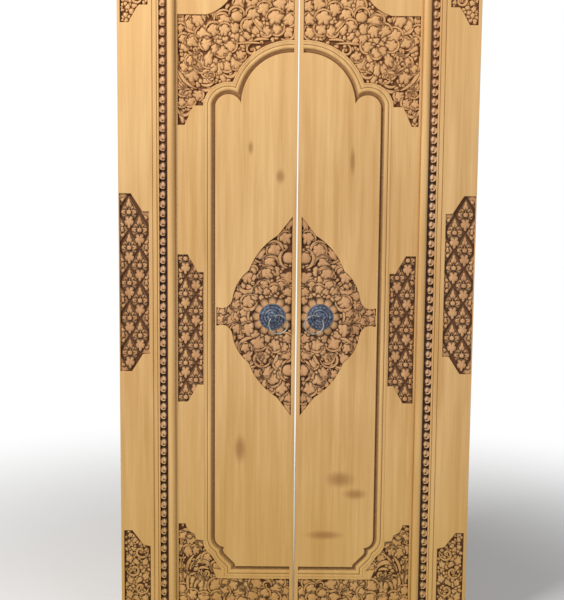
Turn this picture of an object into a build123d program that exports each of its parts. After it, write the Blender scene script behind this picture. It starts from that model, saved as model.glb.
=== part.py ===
from build123d import *
import os
from math import ceil, cos, degrees, radians, sin, sqrt

# Carved temple door: two leaves that turn on wooden pivots between two carved jambs, a head and a sill.
# Millimetres. x runs to the right, y to the back and z up. The origin is on the floor, in the middle of
# the frame. Carved outlines are given for the right half as (u, z): u is the distance from the middle
# of the door, z the height above the floor. The left half is its mirror image.

# Frame
FRAME_WIDTH = 1142
FRAME_HEIGHT = 2330
JAMB_WIDTH = 179
SILL_HEIGHT = 60
HEAD_HEIGHT = 91
LIP_DEPTH = 15
LAP = 12

# Leaves
LEAF_THICK = 36
LEAF_RECESS = 16
LEAF_SIDE_GAP = 2
LEAF_END_GAP = 3
SEAM_GAP = 5
PIVOT_RADIUS = 11
PIVOT_SIDES = 16
PIVOT_DEPTH = 35
PIVOT_CLEARANCE = 0.08
PIVOT_END_CLEARANCE = 0.3

# Places that follow from them
FRAME_DEPTH = LEAF_RECESS + LEAF_THICK
FRAME_FRONT = -FRAME_DEPTH / 2
FRAME_BACK = FRAME_DEPTH / 2
OPENING = FRAME_WIDTH / 2 - JAMB_WIDTH
REBATE = OPENING + LAP + LEAF_SIDE_GAP
LIP_BACK = FRAME_FRONT + LIP_DEPTH
LEAF_FRONT = FRAME_FRONT + LEAF_RECESS
LEAF_BACK = FRAME_BACK
LEAF_EDGE = SEAM_GAP / 2
LEAF_BOTTOM = SILL_HEIGHT + LEAF_END_GAP
LEAF_TOP = FRAME_HEIGHT - HEAD_HEIGHT - LEAF_END_GAP
PIVOT_U = OPENING + LAP - LEAF_THICK / 2
PIVOT_Y = LEAF_FRONT + LEAF_THICK / 2

# Mortise and tenon joints of the frame, with their pegs
TENON_THICK = 16
TENON_LENGTH = 80
TENON_SHOULDER = 14
PEG_SIDE = 10
PEG_LENGTH = 34
PEG_INSET = 35

# Mouldings that run up each jamb, from the opening outwards
FILLET_WIDTH = 24
FILLET_EDGE = 9
CHANNEL_WIDTH = 25
CHANNEL_DEPTH = 12
ARRIS_WIDTH = 4
GROOVE_WIDTH = 4
GROOVE_DEPTH = 3
BAND_WIDTH = 10

# Beads in the channel
BEAD_BASE = 3
BEAD_PITCH = 30
BEAD_LENGTH = 26
BEAD_WIDTH = 19
BEAD_RISE = 8
BEAD_CORNER = 6

# Carved fields. Crowns of the carving stay a little below the face of the board
LEAF_FIELD_DEPTH = 10
JAMB_FIELD_DEPTH = 9
CARVING_DROP = 2
CARVING_SET_IN = 0.6
FACET_ANGLE = 16
EDGE_STRIP = 12
STRIP_EDGE = LEAF_EDGE + EDGE_STRIP
LEAF_MARGIN = 8

# The leaf's carving is drawn for an opening of this half width and a leaf of this height, and stretches
# with them. The values below, as far as the lozenges, belong to the drawing
DRAWN_OPENING = 392
DRAWN_BOTTOM = 63
DRAWN_TOP = 2236
PANEL_U = 287.5
PANEL_BOTTOM = 195.5
ARCH_RADIUS = 186
ARCH_CENTRE = (20, 1737)
SHOULDER_RADIUS = 68
SHOULDER_CENTRE = (PANEL_U - 66.5, 1724)
NOTCH_UPPER_RADIUS = 57.5
NOTCH_UPPER_CENTRE = (PANEL_U - NOTCH_UPPER_RADIUS, 318)
NOTCH_LOWER_RADIUS = 43
NOTCH_LOWER_CENTRE = (217, 275)
NOTCH_FOOT_U = 220.5
MOULDING_WIDTH = 25.5
MOULDING_DEPTH = 7
ROLL_WIDTH = 13
ROLL_DROP = 2
FIELD_BORDER = 9
SPANDREL_MARGIN = 14
SPANDREL_SHELF = 1731
SPANDREL_FOOT = 1670
CORNER_PANEL_FOOT = 2013
RAIL_FIELD_TOP = 178

# Lozenge carving: one flower in each lozenge
LOZENGE_HEIGHT = 114
BAR_WIDTH = 5
LATTICE_DROP = 3
LEAF_LOZENGE_Z = 1017
LEAF_LOZENGE_ROWS = 3
LEAF_LOZENGE_REACH = 241
LEAF_LOZENGE_MARGIN = 11.75
JAMB_LOZENGE_ROWS = 4
JAMB_LOZENGE_REACH = 287

# Fields of the jamb's plain board, outside its mouldings
BOARD_EDGE = OPENING + FILLET_WIDTH + CHANNEL_WIDTH + ARRIS_WIDTH + 2 * GROOVE_WIDTH + BAND_WIDTH
JAMB_MARGIN_INNER = 11
JAMB_MARGIN_OUTER = 3
END_MARGIN = 35
END_STEP = 292
END_REACH = 346

# Handles
HANDLE_U = 77.5
HANDLE_Z = 1058
ROSETTE_RADIUS = 43
BOSS_RADIUS = ROSETTE_RADIUS + 4
PETAL_RADIUS = BOSS_RADIUS + 18
PETALS = 10
ROSETTE_THICK = 4
ROSETTE_RISE = 9
ROSETTE_SIDES = 20
SHANK = 7
COLLAR_RADIUS = 9
COLLAR_THICK = 2
KNOB_RADIUS = 7.5
KNOB_SIDES = 10
KNOB_LENGTH = 11
RING_RADIUS = 30
RING_WIRE = 2
RING_HOLE = 3
RING_HOLE_SIDES = 8
RING_LEAN = 41
RING_SIDES = 16
WASHER_SIDE = 22
WASHER_THICK = 2.5
RIVET_RADIUS = 8
RIVET_RISE = 3

# Wooden bolt on the back
BOLT_Z = 1220
BOLT_HEIGHT = 40
BOLT_THICK = 20
BOLT_LENGTH = 300
BOLT_START = -30
BOLT_THROW = 95
BOLT_CLEARANCE = 0.5
KEEPER_WIDTH = 30
KEEPER_WALL = 18
KEEPER_CAP = 10
OUTER_KEEPER_X = -285
INNER_KEEPER_X = -60
CATCH_X = 40
GRIP_WIDTH = 26
GRIP_RISE = 16
GRIP_HEIGHT = 30
KEEPER_PEG_SIDE = 8
KEEPER_PEG_GRIP = 14


def plane_at(y):
    """The upright plane at this depth, facing the front, with u and z as its own axes."""
    return Plane.XZ.offset(-y)


def flat_face(*corners):
    """A flat face between these points."""
    return Face(Wire.make_polygon([Vector(*corner) for corner in corners]))


def faceted(levels):
    """A solid with flat sides through levels given as (depth, outline), where the last may be one point."""
    faces = []
    for (back, outer), (front, inner) in zip(levels, levels[1:]):
        count = len(outer)
        for k in range(count):
            a, b = outer[k], outer[(k + 1) % count]
            c, d = inner[k % len(inner)], inner[(k + 1) % len(inner)]
            faces.append(flat_face((a[0], back, a[1]), (b[0], back, b[1]), (c[0], front, c[1])))
            if len(inner) > 1:
                faces.append(flat_face((b[0], back, b[1]), (d[0], front, d[1]), (c[0], front, c[1])))
    for depth, outline in (levels[0], levels[-1]):
        if len(outline) > 1:
            faces.append(flat_face(*[(u, depth, z) for u, z in outline]))
    return Solid(Shell(faces))


def carved(outline, crown, field):
    """A carved form in a field given as (front, depth): its outline narrows to the crown below the front."""
    front, depth = field
    return faceted([(front + depth + CARVING_SET_IN, outline), (front + CARVING_DROP, crown)])


def on_circle(centre, radius, angle):
    """The point at this angle on a circle."""
    return (centre[0] + radius * cos(radians(angle)), centre[1] + radius * sin(radians(angle)))


def circles_meet(c1, r1, c2, r2):
    """Where two circles cross, on the left of the way from the first centre to the second."""
    apart = sqrt((c2[0] - c1[0]) ** 2 + (c2[1] - c1[1]) ** 2)
    along = (r1**2 - r2**2 + apart**2) / (2 * apart)
    off = sqrt(r1**2 - along**2)
    du, dz = (c2[0] - c1[0]) / apart, (c2[1] - c1[1]) / apart
    return (c1[0] + along * du - off * dz, c1[1] + along * dz + off * du)


def turned(points, centre, heading):
    """Points given as (along, across) a heading in degrees, set at a centre."""
    c, s = cos(radians(heading)), sin(radians(heading))
    return [(centre[0] + a * c - b * s, centre[1] + a * s + b * c) for a, b in points]


def leaf_form(place, length, heading, field):
    """A leaf with a lobe on each side and a pointed tip, rising to its middle."""
    half = [(-0.5, 0.09), (-0.2, 0.31), (0.12, 0.155)]
    outline = half + [(0.5, 0)] + [(a, -b) for a, b in reversed(half)]
    outline = [(a * length, b * length) for a, b in outline]
    return carved(turned(outline, place, heading), turned([(-0.1 * length, 0)], place, heading), field)


def star_form(place, outer, inner, points, field):
    """A flower with this many petals, or a bud where both radii are the same, rising to its middle."""
    step = 180 / points
    outline = [on_circle(place, outer if k % 2 == 0 else inner, (k + 0.5) * step) for k in range(2 * points)]
    return carved(outline, [place], field)


def bud_form(place, radius, field):
    """A curled bud, six-sided."""
    return star_form(place, radius, radius, 3, field)


def crescent_form(place, radius, heading, sweep, field):
    """A scroll seen as a crescent: thick in its middle and pointed at both ends."""

    def band(outer, inner, spread):
        angles = [heading + spread * sweep * share for share in (-0.5, -0.27, 0, 0.27, 0.5)]
        far = [on_circle(place, radius * outer, a) for a in angles]
        return far + [on_circle(place, radius * inner, a) for a in angles[-2:0:-1]]

    return carved(band(1, 0.58, 1), band(0.87, 0.71, 0.8), field)


# The drawing of the leaf's carving
def on_leaf(u, z):
    """A drawn point, stretched to the leaf's real width and height."""
    share = (z - DRAWN_BOTTOM) / (DRAWN_TOP - DRAWN_BOTTOM)
    return (u * OPENING / DRAWN_OPENING, LEAF_BOTTOM + share * (LEAF_TOP - LEAF_BOTTOM))


def by_handle(u, rise):
    """A point of the central field, stretched to the leaf's width, at this height above the handle."""
    return (u * OPENING / DRAWN_OPENING, HANDLE_Z + rise)


def facets(place, *points):
    """Straight lines through points that are put in place by on_leaf or by_handle."""
    Polyline(*[place(*point) for point in points])


def gouged_arc(place, *points):
    """An arc through three points, cut as short straight facets in the way of a gouge."""
    start, middle, end = [place(*point) for point in points]
    arc = ThreePointArc(start, middle, end, mode=Mode.PRIVATE)
    count = ceil(degrees(arc.length / arc.radius) / FACET_ANGLE)
    Polyline(start, *[arc @ (k / count) for k in range(1, count)], end)


def outline_sketch(front, draw):
    """A closed field on the board's front, from a function that draws its lines."""
    with BuildSketch(plane_at(front)) as sketch:
        with BuildLine():
            draw()
        make_face()
    return sketch.sketch


def draw_diamond():
    """Half of the central field: bowed sides in two steps and a short neck, even above and below."""
    edge = STRIP_EDGE * DRAWN_OPENING / OPENING
    for side in (1, -1):
        tip, foot = (edge, side * 325), (62, side * 264)
        facets(by_handle, tip, foot)
        gouged_arc(by_handle, foot, (122, side * 210), (154, side * 151))
        gouged_arc(by_handle, (154, side * 151), (184, side * 119), (207, side * 58))
        gouged_arc(by_handle, (207, side * 58), (218, side * 37), (238, side * 27))
        facets(by_handle, (238, side * 27), (258.5, side * 30))
    facets(by_handle, (258.5, 30), (258.5, -30))
    facets(by_handle, (edge, 325), (edge, -325))


def draw_arch(grow):
    """The cusped arch from the meeting strip out to its corner, grown outwards by this much."""
    arch, shoulder = ARCH_RADIUS + grow, SHOULDER_RADIUS + grow
    crown = on_circle(ARCH_CENTRE, arch, 90)
    cusp = circles_meet(ARCH_CENTRE, arch, SHOULDER_CENTRE, shoulder)
    reach = PANEL_U + grow - SHOULDER_CENTRE[0]
    corner = (PANEL_U + grow, SHOULDER_CENTRE[1] + sqrt(shoulder**2 - reach**2))
    start = (STRIP_EDGE * DRAWN_OPENING / OPENING, crown[1])
    facets(on_leaf, start, crown)
    gouged_arc(on_leaf, crown, on_circle(ARCH_CENTRE, arch, 50), cusp)
    gouged_arc(on_leaf, cusp, on_circle(SHOULDER_CENTRE, shoulder, 70), corner)
    return start, corner


def draw_panel(grow):
    """The raised panel's outline, with its cusped arch and stepped lower corner, grown by this much."""
    start, corner = draw_arch(grow)
    upper, lower = NOTCH_UPPER_RADIUS + grow, NOTCH_LOWER_RADIUS + grow
    side = on_circle(NOTCH_UPPER_CENTRE, upper, 0)
    step = circles_meet(NOTCH_UPPER_CENTRE, upper, NOTCH_LOWER_CENTRE, lower)
    slope = on_circle(NOTCH_LOWER_CENTRE, lower, -45)
    foot_u = NOTCH_FOOT_U + grow
    bend = (foot_u, slope[1] - (slope[0] - foot_u))
    bottom = PANEL_BOTTOM - grow
    facets(on_leaf, corner, side)
    gouged_arc(on_leaf, side, on_circle(NOTCH_UPPER_CENTRE, upper, -30), step)
    gouged_arc(on_leaf, step, on_circle(NOTCH_LOWER_CENTRE, lower, -30), slope)
    facets(on_leaf, slope, bend, (foot_u, bottom), (start[0], bottom), start)


def draw_spandrel():
    """The field above the arch, with the round-cornered plain panel left standing in its upper corner."""
    border = DRAWN_OPENING - FIELD_BORDER
    top = DRAWN_TOP - LAP - FIELD_BORDER
    foot = CORNER_PANEL_FOOT
    start, corner = draw_arch(SPANDREL_MARGIN)
    facets(on_leaf, corner, (corner[0], SPANDREL_SHELF), (333, SPANDREL_SHELF), (361, SPANDREL_FOOT),
           (border, SPANDREL_FOOT), (border, foot), (292, foot))
    gouged_arc(on_leaf, (292, foot), (226, foot + 41), (196, foot + 107))
    facets(on_leaf, (196, foot + 107), (196, top), (start[0], top), start)


def draw_corner_and_rail():
    """The field of the lower corner, which steps round the panel and runs on along the rail."""
    border = DRAWN_OPENING - FIELD_BORDER
    foot = DRAWN_BOTTOM + LAP + FIELD_BORDER
    edge = STRIP_EDGE * DRAWN_OPENING / OPENING
    gouged_arc(on_leaf, (360, 366), (352, 346), (330, 330))
    facets(on_leaf, (330, 330), (325, 311), (301, 309))
    gouged_arc(on_leaf, (301, 309), (295, 280), (277, 261))
    facets(on_leaf, (277, 261), (240, 207), (270, 211), (256, RAIL_FIELD_TOP), (edge, RAIL_FIELD_TOP),
           (edge, foot), (border, foot), (border, 366), (360, 366))


# The lozenge fields, given as (middle, height of the middle, half width, half height)
LEAF_FIELD_INNER = on_leaf(PANEL_U + LEAF_LOZENGE_MARGIN, 0)[0]
LEAF_FIELD_OUTER = OPENING - LEAF_MARGIN
JAMB_FIELD_INNER = BOARD_EDGE + JAMB_MARGIN_INNER
JAMB_FIELD_OUTER = FRAME_WIDTH / 2 - JAMB_MARGIN_OUTER
LEAF_LOZENGES = (
    (LEAF_FIELD_INNER + LEAF_FIELD_OUTER) / 2, on_leaf(0, LEAF_LOZENGE_Z)[1],
    (LEAF_FIELD_OUTER - LEAF_FIELD_INNER) / 2, LEAF_LOZENGE_REACH,
)
JAMB_LOZENGES = (
    (JAMB_FIELD_INNER + JAMB_FIELD_OUTER) / 2, FRAME_HEIGHT / 2,
    (JAMB_FIELD_OUTER - JAMB_FIELD_INNER) / 2, JAMB_LOZENGE_REACH,
)
LOZENGE_SHARE = 0.75


def draw_stepped_band(field):
    """A lozenge field, whose two ends step up towards the outer edge."""
    u, z, half, reach = field
    low = reach - LOZENGE_HEIGHT / 2
    above = [(1, reach), (0.22, reach), (-0.55, low), (-1, low)]
    corners = above + [(across, -rise) for across, rise in reversed(above)]
    Polyline(*[(u + across * half, z + rise) for across, rise in corners], close=True)


def lozenge_places(field, rows):
    """The middles of the lozenges: two columns, half a lozenge apart in height."""
    u, z, half, reach = field
    return [
        (u + (1 if (k + rows) % 2 == 0 else -1) * half * LOZENGE_SHARE / 2, z + k * LOZENGE_HEIGHT / 2)
        for k in range(-rows, rows + 1)
    ]


def lozenge_pockets(field, rows, front):
    """The sunk lozenges, and the part lozenges along the two borders, cut off by the field's outline."""
    u, z, half, reach = field
    a, b = half * LOZENGE_SHARE, LOZENGE_HEIGHT / 2
    shrink = 1 - BAR_WIDTH / 2 * sqrt(a**2 + b**2) / (a * b)
    whole = lozenge_places(field, rows)
    cut_off = [(x + (2 * a if x < u else -2 * a), y) for x, y in whole]
    with BuildSketch(plane_at(front)) as pockets:
        with Locations(*whole, *cut_off):
            Polygon((a * shrink, 0), (0, b * shrink), (-a * shrink, 0), (0, -b * shrink), align=None)
        add(outline_sketch(front, lambda: draw_stepped_band(field)), mode=Mode.INTERSECT)
    return pockets.sketch


def lozenge_flowers(field, rows, board):
    """In each lozenge, a flower with two side petals and a pointed leaf above and below."""
    a, b = field[2] * LOZENGE_SHARE, LOZENGE_HEIGHT / 2
    half = [(0, 0.82), (0.21, 0.21), (0.8, 0.05), (0.27, -0.18), (0.36, -0.42), (0, -0.84)]
    outline = half + [(-x, y) for x, y in reversed(half[1:-1])]
    return [carved([(u + x * a, z + y * b) for x, y in outline], [(u, z)], board)
            for u, z in lozenge_places(field, rows)]


def draw_jamb_end(up):
    """The end field of a jamb, at its top or its foot."""
    u, z, half, reach = JAMB_LOZENGES
    corners = [(1, END_REACH), (0.26, END_REACH), (-0.43, END_STEP), (-1, END_STEP), (-1, END_MARGIN), (1, END_MARGIN)]
    Polyline(*[(u + across * half, z + up * (FRAME_HEIGHT / 2 - end)) for across, end in corners], close=True)


def leaf_carving():
    """The foliage of a leaf's three fields, form by form, at the places chosen from the photograph."""
    board = (LEAF_FRONT, LEAF_FIELD_DEPTH)
    # Leaves as (u, z, length, heading), where z of the central field is the height above the handle
    central_leaves = [
        (36, 268, 40, 120), (62, 218, 52, -25), (76, 154, 54, -40), (124, 190, 32, 130),
        (150, 114, 38, -70), (28, 102, 40, -100), (186, 76, 40, 150), (112, 84, 34, 60),
        (176, -8, 42, 185), (166, -50, 42, 225), (232, -12, 36, 10), (204, -68, 38, 150),
        (118, -86, 42, 250), (58, -90, 44, 275), (88, -144, 50, 250), (130, -200, 34, 215),
        (64, -190, 42, 285), (36, -258, 52, 280),
    ]
    leaves = [
        # Spandrel
        (340, 1836, 62, 115), (345, 1946, 66, 80), (292, 1950, 56, 20), (208, 1886, 50, -60),
        (240, 1836, 40, 250), (150, 1954, 50, 10), (36, 2066, 60, 90), (112, 2084, 64, 70),
        (164, 2050, 52, 110), (58, 2146, 62, 95), (142, 2156, 66, 85), (350, 1714, 56, 280),
        # Lower corner and rail
        (362, 332, 52, 100), (330, 288, 44, 160), (354, 236, 54, 80), (352, 150, 56, 240),
        (290, 140, 50, 180), (222, 132, 54, 200), (158, 140, 46, 160), (96, 130, 48, 100),
        (42, 130, 48, 80),
    ]
    # Curled buds as (u, z, radius)
    central_buds = [
        (88, 234, 8), (110, 164, 10), (106, 122, 9), (184, 34, 9), (136, -48, 9),
        (148, 146, 9), (38, -122, 9), (94, -182, 9),
    ]
    buds = [
        (326, 1896, 14), (276, 1828, 10), (153, 1902, 20), (196, 1996, 20), (307, 206, 14),
        (256, 150, 9), (128, 160, 9),
    ]
    # Crescent scrolls as (u, z, radius, heading, sweep), and flowers as (u, z, radius, petals)
    central_crescents = [(154, -113, 27, 150, 190)]
    crescents = [(304, 1812, 52, 250, 150), (307, 206, 36, 180, 250)]
    central_flowers = [(32, 182, 21, 7), (28, -174, 20, 7)]
    flowers = [(254, 1892, 38, 7), (72, 2004, 52, 8)]
    forms = []
    for place, drawn in ((by_handle, central_leaves), (on_leaf, leaves)):
        forms += [leaf_form(place(u, z), length, heading, board) for u, z, length, heading in drawn]
    for place, drawn in ((by_handle, central_buds), (on_leaf, buds)):
        forms += [bud_form(place(u, z), radius, board) for u, z, radius in drawn]
    for place, drawn in ((by_handle, central_crescents), (on_leaf, crescents)):
        forms += [crescent_form(place(u, z), radius, heading, sweep, board) for u, z, radius, heading, sweep in drawn]
    for place, drawn in ((by_handle, central_flowers), (on_leaf, flowers)):
        forms += [star_form(place(u, z), radius, radius * 0.62, petals, board) for u, z, radius, petals in drawn]
    # The petals round the rosette rise to the boss that it sits on
    handle = (HANDLE_U, HANDLE_Z)
    angles = [k * 180 / PETALS for k in range(2 * PETALS)]
    petals = [on_circle(handle, PETAL_RADIUS - 6 * (k % 2), angle) for k, angle in enumerate(angles)]
    return forms + [carved(petals, [on_circle(handle, BOSS_RADIUS, angle) for angle in angles], board)]


def jamb_end_carving(up):
    """Foliage of a jamb's end field, at its top or its foot, as shares across it and distances from the end."""
    u, z, half, reach = JAMB_LOZENGES
    board = (FRAME_FRONT, JAMB_FIELD_DEPTH)
    leaves = [(0.6, 313, 52, 80), (-0.17, 253, 56, 110), (0.55, 217, 54, 60), (-0.43, 165, 56, 100),
              (0.47, 123, 56, 70), (-0.34, 79, 50, 95)]
    buds = [(0.64, 261, 9), (-0.64, 213, 9), (0.17, 179, 10)]

    def place(across, end):
        return (u + across * half, z + up * (FRAME_HEIGHT / 2 - end))

    forms = [leaf_form(place(across, end), length, up * heading, board) for across, end, length, heading in leaves]
    return forms + [bud_form(place(across, end), radius, board) for across, end, radius in buds]


# Jamb: the board with its mouldings, mortises, peg holes and carved fields
def jamb_profile():
    """The jamb's section, seen from above."""
    u = OPENING
    channel_inner = u + FILLET_WIDTH
    channel_outer = channel_inner + CHANNEL_WIDTH
    groove_1 = channel_outer + ARRIS_WIDTH
    band = groove_1 + GROOVE_WIDTH
    groove_2 = band + BAND_WIDTH
    floor = FRAME_FRONT + CHANNEL_DEPTH
    with BuildSketch(Plane.XY) as sketch:
        with BuildLine():
            edge = FRAME_FRONT + FILLET_EDGE
            Line((FRAME_WIDTH / 2, FRAME_BACK), (REBATE, FRAME_BACK))
            Line((REBATE, FRAME_BACK), (REBATE, LIP_BACK))
            Line((REBATE, LIP_BACK), (u, LIP_BACK))
            Line((u, LIP_BACK), (u, edge))
            ThreePointArc((u, edge), (u + FILLET_WIDTH / 2, FRAME_FRONT + 0.5), (channel_inner, edge))
            Line((channel_inner, edge), (channel_inner, floor))
            Line((channel_inner, floor), (channel_outer, floor))
            Line((channel_outer, floor), (channel_outer, FRAME_FRONT))
            Line((channel_outer, FRAME_FRONT), (groove_1, FRAME_FRONT))
            Line((groove_1, FRAME_FRONT), (groove_1 + GROOVE_WIDTH / 2, FRAME_FRONT + GROOVE_DEPTH))
            Line((groove_1 + GROOVE_WIDTH / 2, FRAME_FRONT + GROOVE_DEPTH), (band, FRAME_FRONT))
            Line((band, FRAME_FRONT), (groove_2, FRAME_FRONT))
            Line((groove_2, FRAME_FRONT), (groove_2 + GROOVE_WIDTH / 2, FRAME_FRONT + GROOVE_DEPTH))
            Line((groove_2 + GROOVE_WIDTH / 2, FRAME_FRONT + GROOVE_DEPTH), (BOARD_EDGE, FRAME_FRONT))
            Line((BOARD_EDGE, FRAME_FRONT), (FRAME_WIDTH / 2, FRAME_FRONT))
            Line((FRAME_WIDTH / 2, FRAME_FRONT), (FRAME_WIDTH / 2, FRAME_BACK))
        make_face()
    return sketch.sketch


TENON_Y = PIVOT_Y
HEAD_BOTTOM = FRAME_HEIGHT - HEAD_HEIGHT
SILL_TENON = (TENON_SHOULDER, SILL_HEIGHT - TENON_SHOULDER)
HEAD_TENON = (HEAD_BOTTOM + TENON_SHOULDER, FRAME_HEIGHT - TENON_SHOULDER)
PEG_PLACES = [(REBATE + PEG_INSET, (low + high) / 2) for low, high in (SILL_TENON, HEAD_TENON)]

with BuildPart() as right_jamb:
    extrude(jamb_profile(), amount=FRAME_HEIGHT)
    for low, high in (SILL_TENON, HEAD_TENON):
        with Locations((REBATE + TENON_LENGTH / 2, TENON_Y, (low + high) / 2)):
            Box(TENON_LENGTH, TENON_THICK, high - low, mode=Mode.SUBTRACT)
    for u, z in PEG_PLACES:
        with Locations((u, FRAME_BACK - PEG_LENGTH / 2, z)):
            Box(PEG_SIDE, PEG_LENGTH, PEG_SIDE, mode=Mode.SUBTRACT)
    for draw in (lambda: draw_jamb_end(1), lambda: draw_jamb_end(-1)):
        extrude(outline_sketch(FRAME_FRONT, draw), amount=-JAMB_FIELD_DEPTH, mode=Mode.SUBTRACT)
    jamb_lattice = outline_sketch(FRAME_FRONT, lambda: draw_stepped_band(JAMB_LOZENGES))
    extrude(jamb_lattice, amount=-LATTICE_DROP, mode=Mode.SUBTRACT)
    jamb_pockets = lozenge_pockets(JAMB_LOZENGES, JAMB_LOZENGE_ROWS, FRAME_FRONT)
    extrude(jamb_pockets, amount=-JAMB_FIELD_DEPTH, mode=Mode.SUBTRACT)
    add(lozenge_flowers(JAMB_LOZENGES, JAMB_LOZENGE_ROWS, (FRAME_FRONT, JAMB_FIELD_DEPTH)))
    add(jamb_end_carving(1) + jamb_end_carving(-1))
right_jamb.part.label = "right_jamb"

with BuildPart() as left_jamb:
    mirror(right_jamb.part, about=Plane.YZ)
left_jamb.part.label = "left_jamb"


# Bead strip: a thin back with one hipped bead at each step
def bead(u, z, floor):
    """One bead, long and six-sided, rising to its middle."""
    w, h, c = BEAD_WIDTH / 2, BEAD_LENGTH / 2, BEAD_CORNER
    outline = [(w, h - c), (0, h), (-w, h - c), (-w, c - h), (0, -h), (w, c - h)]
    foot = [(u + a, z + b) for a, b in outline]
    return faceted([(floor + CARVING_SET_IN, foot), (floor - BEAD_RISE, [(u, z)])])


CHANNEL_FLOOR = FRAME_FRONT + CHANNEL_DEPTH
BEAD_U = OPENING + FILLET_WIDTH + CHANNEL_WIDTH / 2
BEAD_COUNT = int(FRAME_HEIGHT / BEAD_PITCH)
with BuildPart() as right_bead_strip:
    with Locations((BEAD_U, CHANNEL_FLOOR - BEAD_BASE / 2, FRAME_HEIGHT / 2)):
        Box(CHANNEL_WIDTH, BEAD_BASE, FRAME_HEIGHT)
    first = (FRAME_HEIGHT - (BEAD_COUNT - 1) * BEAD_PITCH) / 2
    add([bead(BEAD_U, first + k * BEAD_PITCH, CHANNEL_FLOOR - BEAD_BASE) for k in range(BEAD_COUNT)])
right_bead_strip.part.label = "right_bead_strip"

with BuildPart() as left_bead_strip:
    mirror(right_bead_strip.part, about=Plane.YZ)
left_bead_strip.part.label = "left_bead_strip"


# Head and sill, with the lip that the leaves close against and a socket for each pivot
def cross_piece(bottom, top, lip_bottom, lip_top, tenon, socket_mouth, socket_way):
    """A head or a sill between the jambs, from its main part, lip, tenons and pivot sockets."""
    with BuildPart() as piece:
        with Locations((0, (LIP_BACK + FRAME_BACK) / 2, (bottom + top) / 2)):
            Box(2 * REBATE, FRAME_BACK - LIP_BACK, top - bottom)
        with Locations((0, (FRAME_FRONT + LIP_BACK) / 2, (lip_bottom + lip_top) / 2)):
            Box(2 * OPENING, LIP_DEPTH, lip_top - lip_bottom)
        with Locations((0, TENON_Y, (tenon[0] + tenon[1]) / 2)):
            Box(2 * (REBATE + TENON_LENGTH), TENON_THICK, tenon[1] - tenon[0])
        edges = piece.edges().filter_by(Axis.X).group_by(Axis.Y)[0]
        inner = edges.sort_by(Axis.Z)[0] if socket_way > 0 else edges.sort_by(Axis.Z)[-1]
        chamfer(inner, length=LIP_DEPTH / 3)
        with BuildSketch(Plane.XY.offset(socket_mouth)):
            with Locations((PIVOT_U, PIVOT_Y), (-PIVOT_U, PIVOT_Y)):
                Circle(PIVOT_RADIUS + PIVOT_CLEARANCE)
        extrude(amount=socket_way * (PIVOT_DEPTH + PIVOT_END_CLEARANCE), mode=Mode.SUBTRACT)
        for side in (-1, 1):
            for u, z in PEG_PLACES:
                if bottom < z < top:
                    with Locations((side * u, FRAME_BACK - PEG_LENGTH / 2, z)):
                        Box(PEG_SIDE, PEG_LENGTH, PEG_SIDE, mode=Mode.SUBTRACT)
    return piece.part


sill_piece = cross_piece(
    0, SILL_HEIGHT, 0, LEAF_BOTTOM + LAP, SILL_TENON, SILL_HEIGHT, -1
)
with BuildPart() as sill:
    add(sill_piece)
sill.part.label = "sill"

head_piece = cross_piece(
    HEAD_BOTTOM, FRAME_HEIGHT, LEAF_TOP - LAP, FRAME_HEIGHT, HEAD_TENON, HEAD_BOTTOM, 1
)
with BuildPart() as head:
    add(head_piece)
head.part.label = "head"

with BuildPart() as frame_pegs:
    for side in (-1, 1):
        for u, z in PEG_PLACES:
            with Locations((side * u, FRAME_BACK - PEG_LENGTH / 2, z)):
                Box(PEG_SIDE, PEG_LENGTH, PEG_SIDE)
frame_pegs.part.label = "frame_pegs"

# Leaf: one slab with a round hinge edge and its two pivots, then the moulding and the carving
with BuildPart() as leaf_blank:
    with BuildSketch(Plane.XY.offset(LEAF_BOTTOM)):
        with BuildLine():
            Line((LEAF_EDGE, LEAF_FRONT), (PIVOT_U, LEAF_FRONT))
            ThreePointArc((PIVOT_U, LEAF_FRONT), (PIVOT_U + LEAF_THICK / 2, PIVOT_Y), (PIVOT_U, LEAF_BACK))
            Line((PIVOT_U, LEAF_BACK), (LEAF_EDGE, LEAF_BACK))
            Line((LEAF_EDGE, LEAF_BACK), (LEAF_EDGE, LEAF_FRONT))
        make_face()
    extrude(amount=LEAF_TOP - LEAF_BOTTOM)
    pivot_reach = LEAF_END_GAP + PIVOT_DEPTH
    with BuildSketch(Plane.XY.offset(LEAF_BOTTOM - pivot_reach)):
        with Locations((PIVOT_U, PIVOT_Y)):
            RegularPolygon(PIVOT_RADIUS, PIVOT_SIDES)
    extrude(amount=LEAF_TOP - LEAF_BOTTOM + 2 * pivot_reach)


def panel_band(outer, inner):
    """The band between two lines that lie this far inside the moulding's outer line."""
    with BuildSketch(plane_at(LEAF_FRONT)) as band:
        with BuildLine():
            draw_panel(-outer)
        make_face()
        with BuildLine():
            draw_panel(-inner)
        make_face(mode=Mode.SUBTRACT)
    return band.sketch


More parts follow.
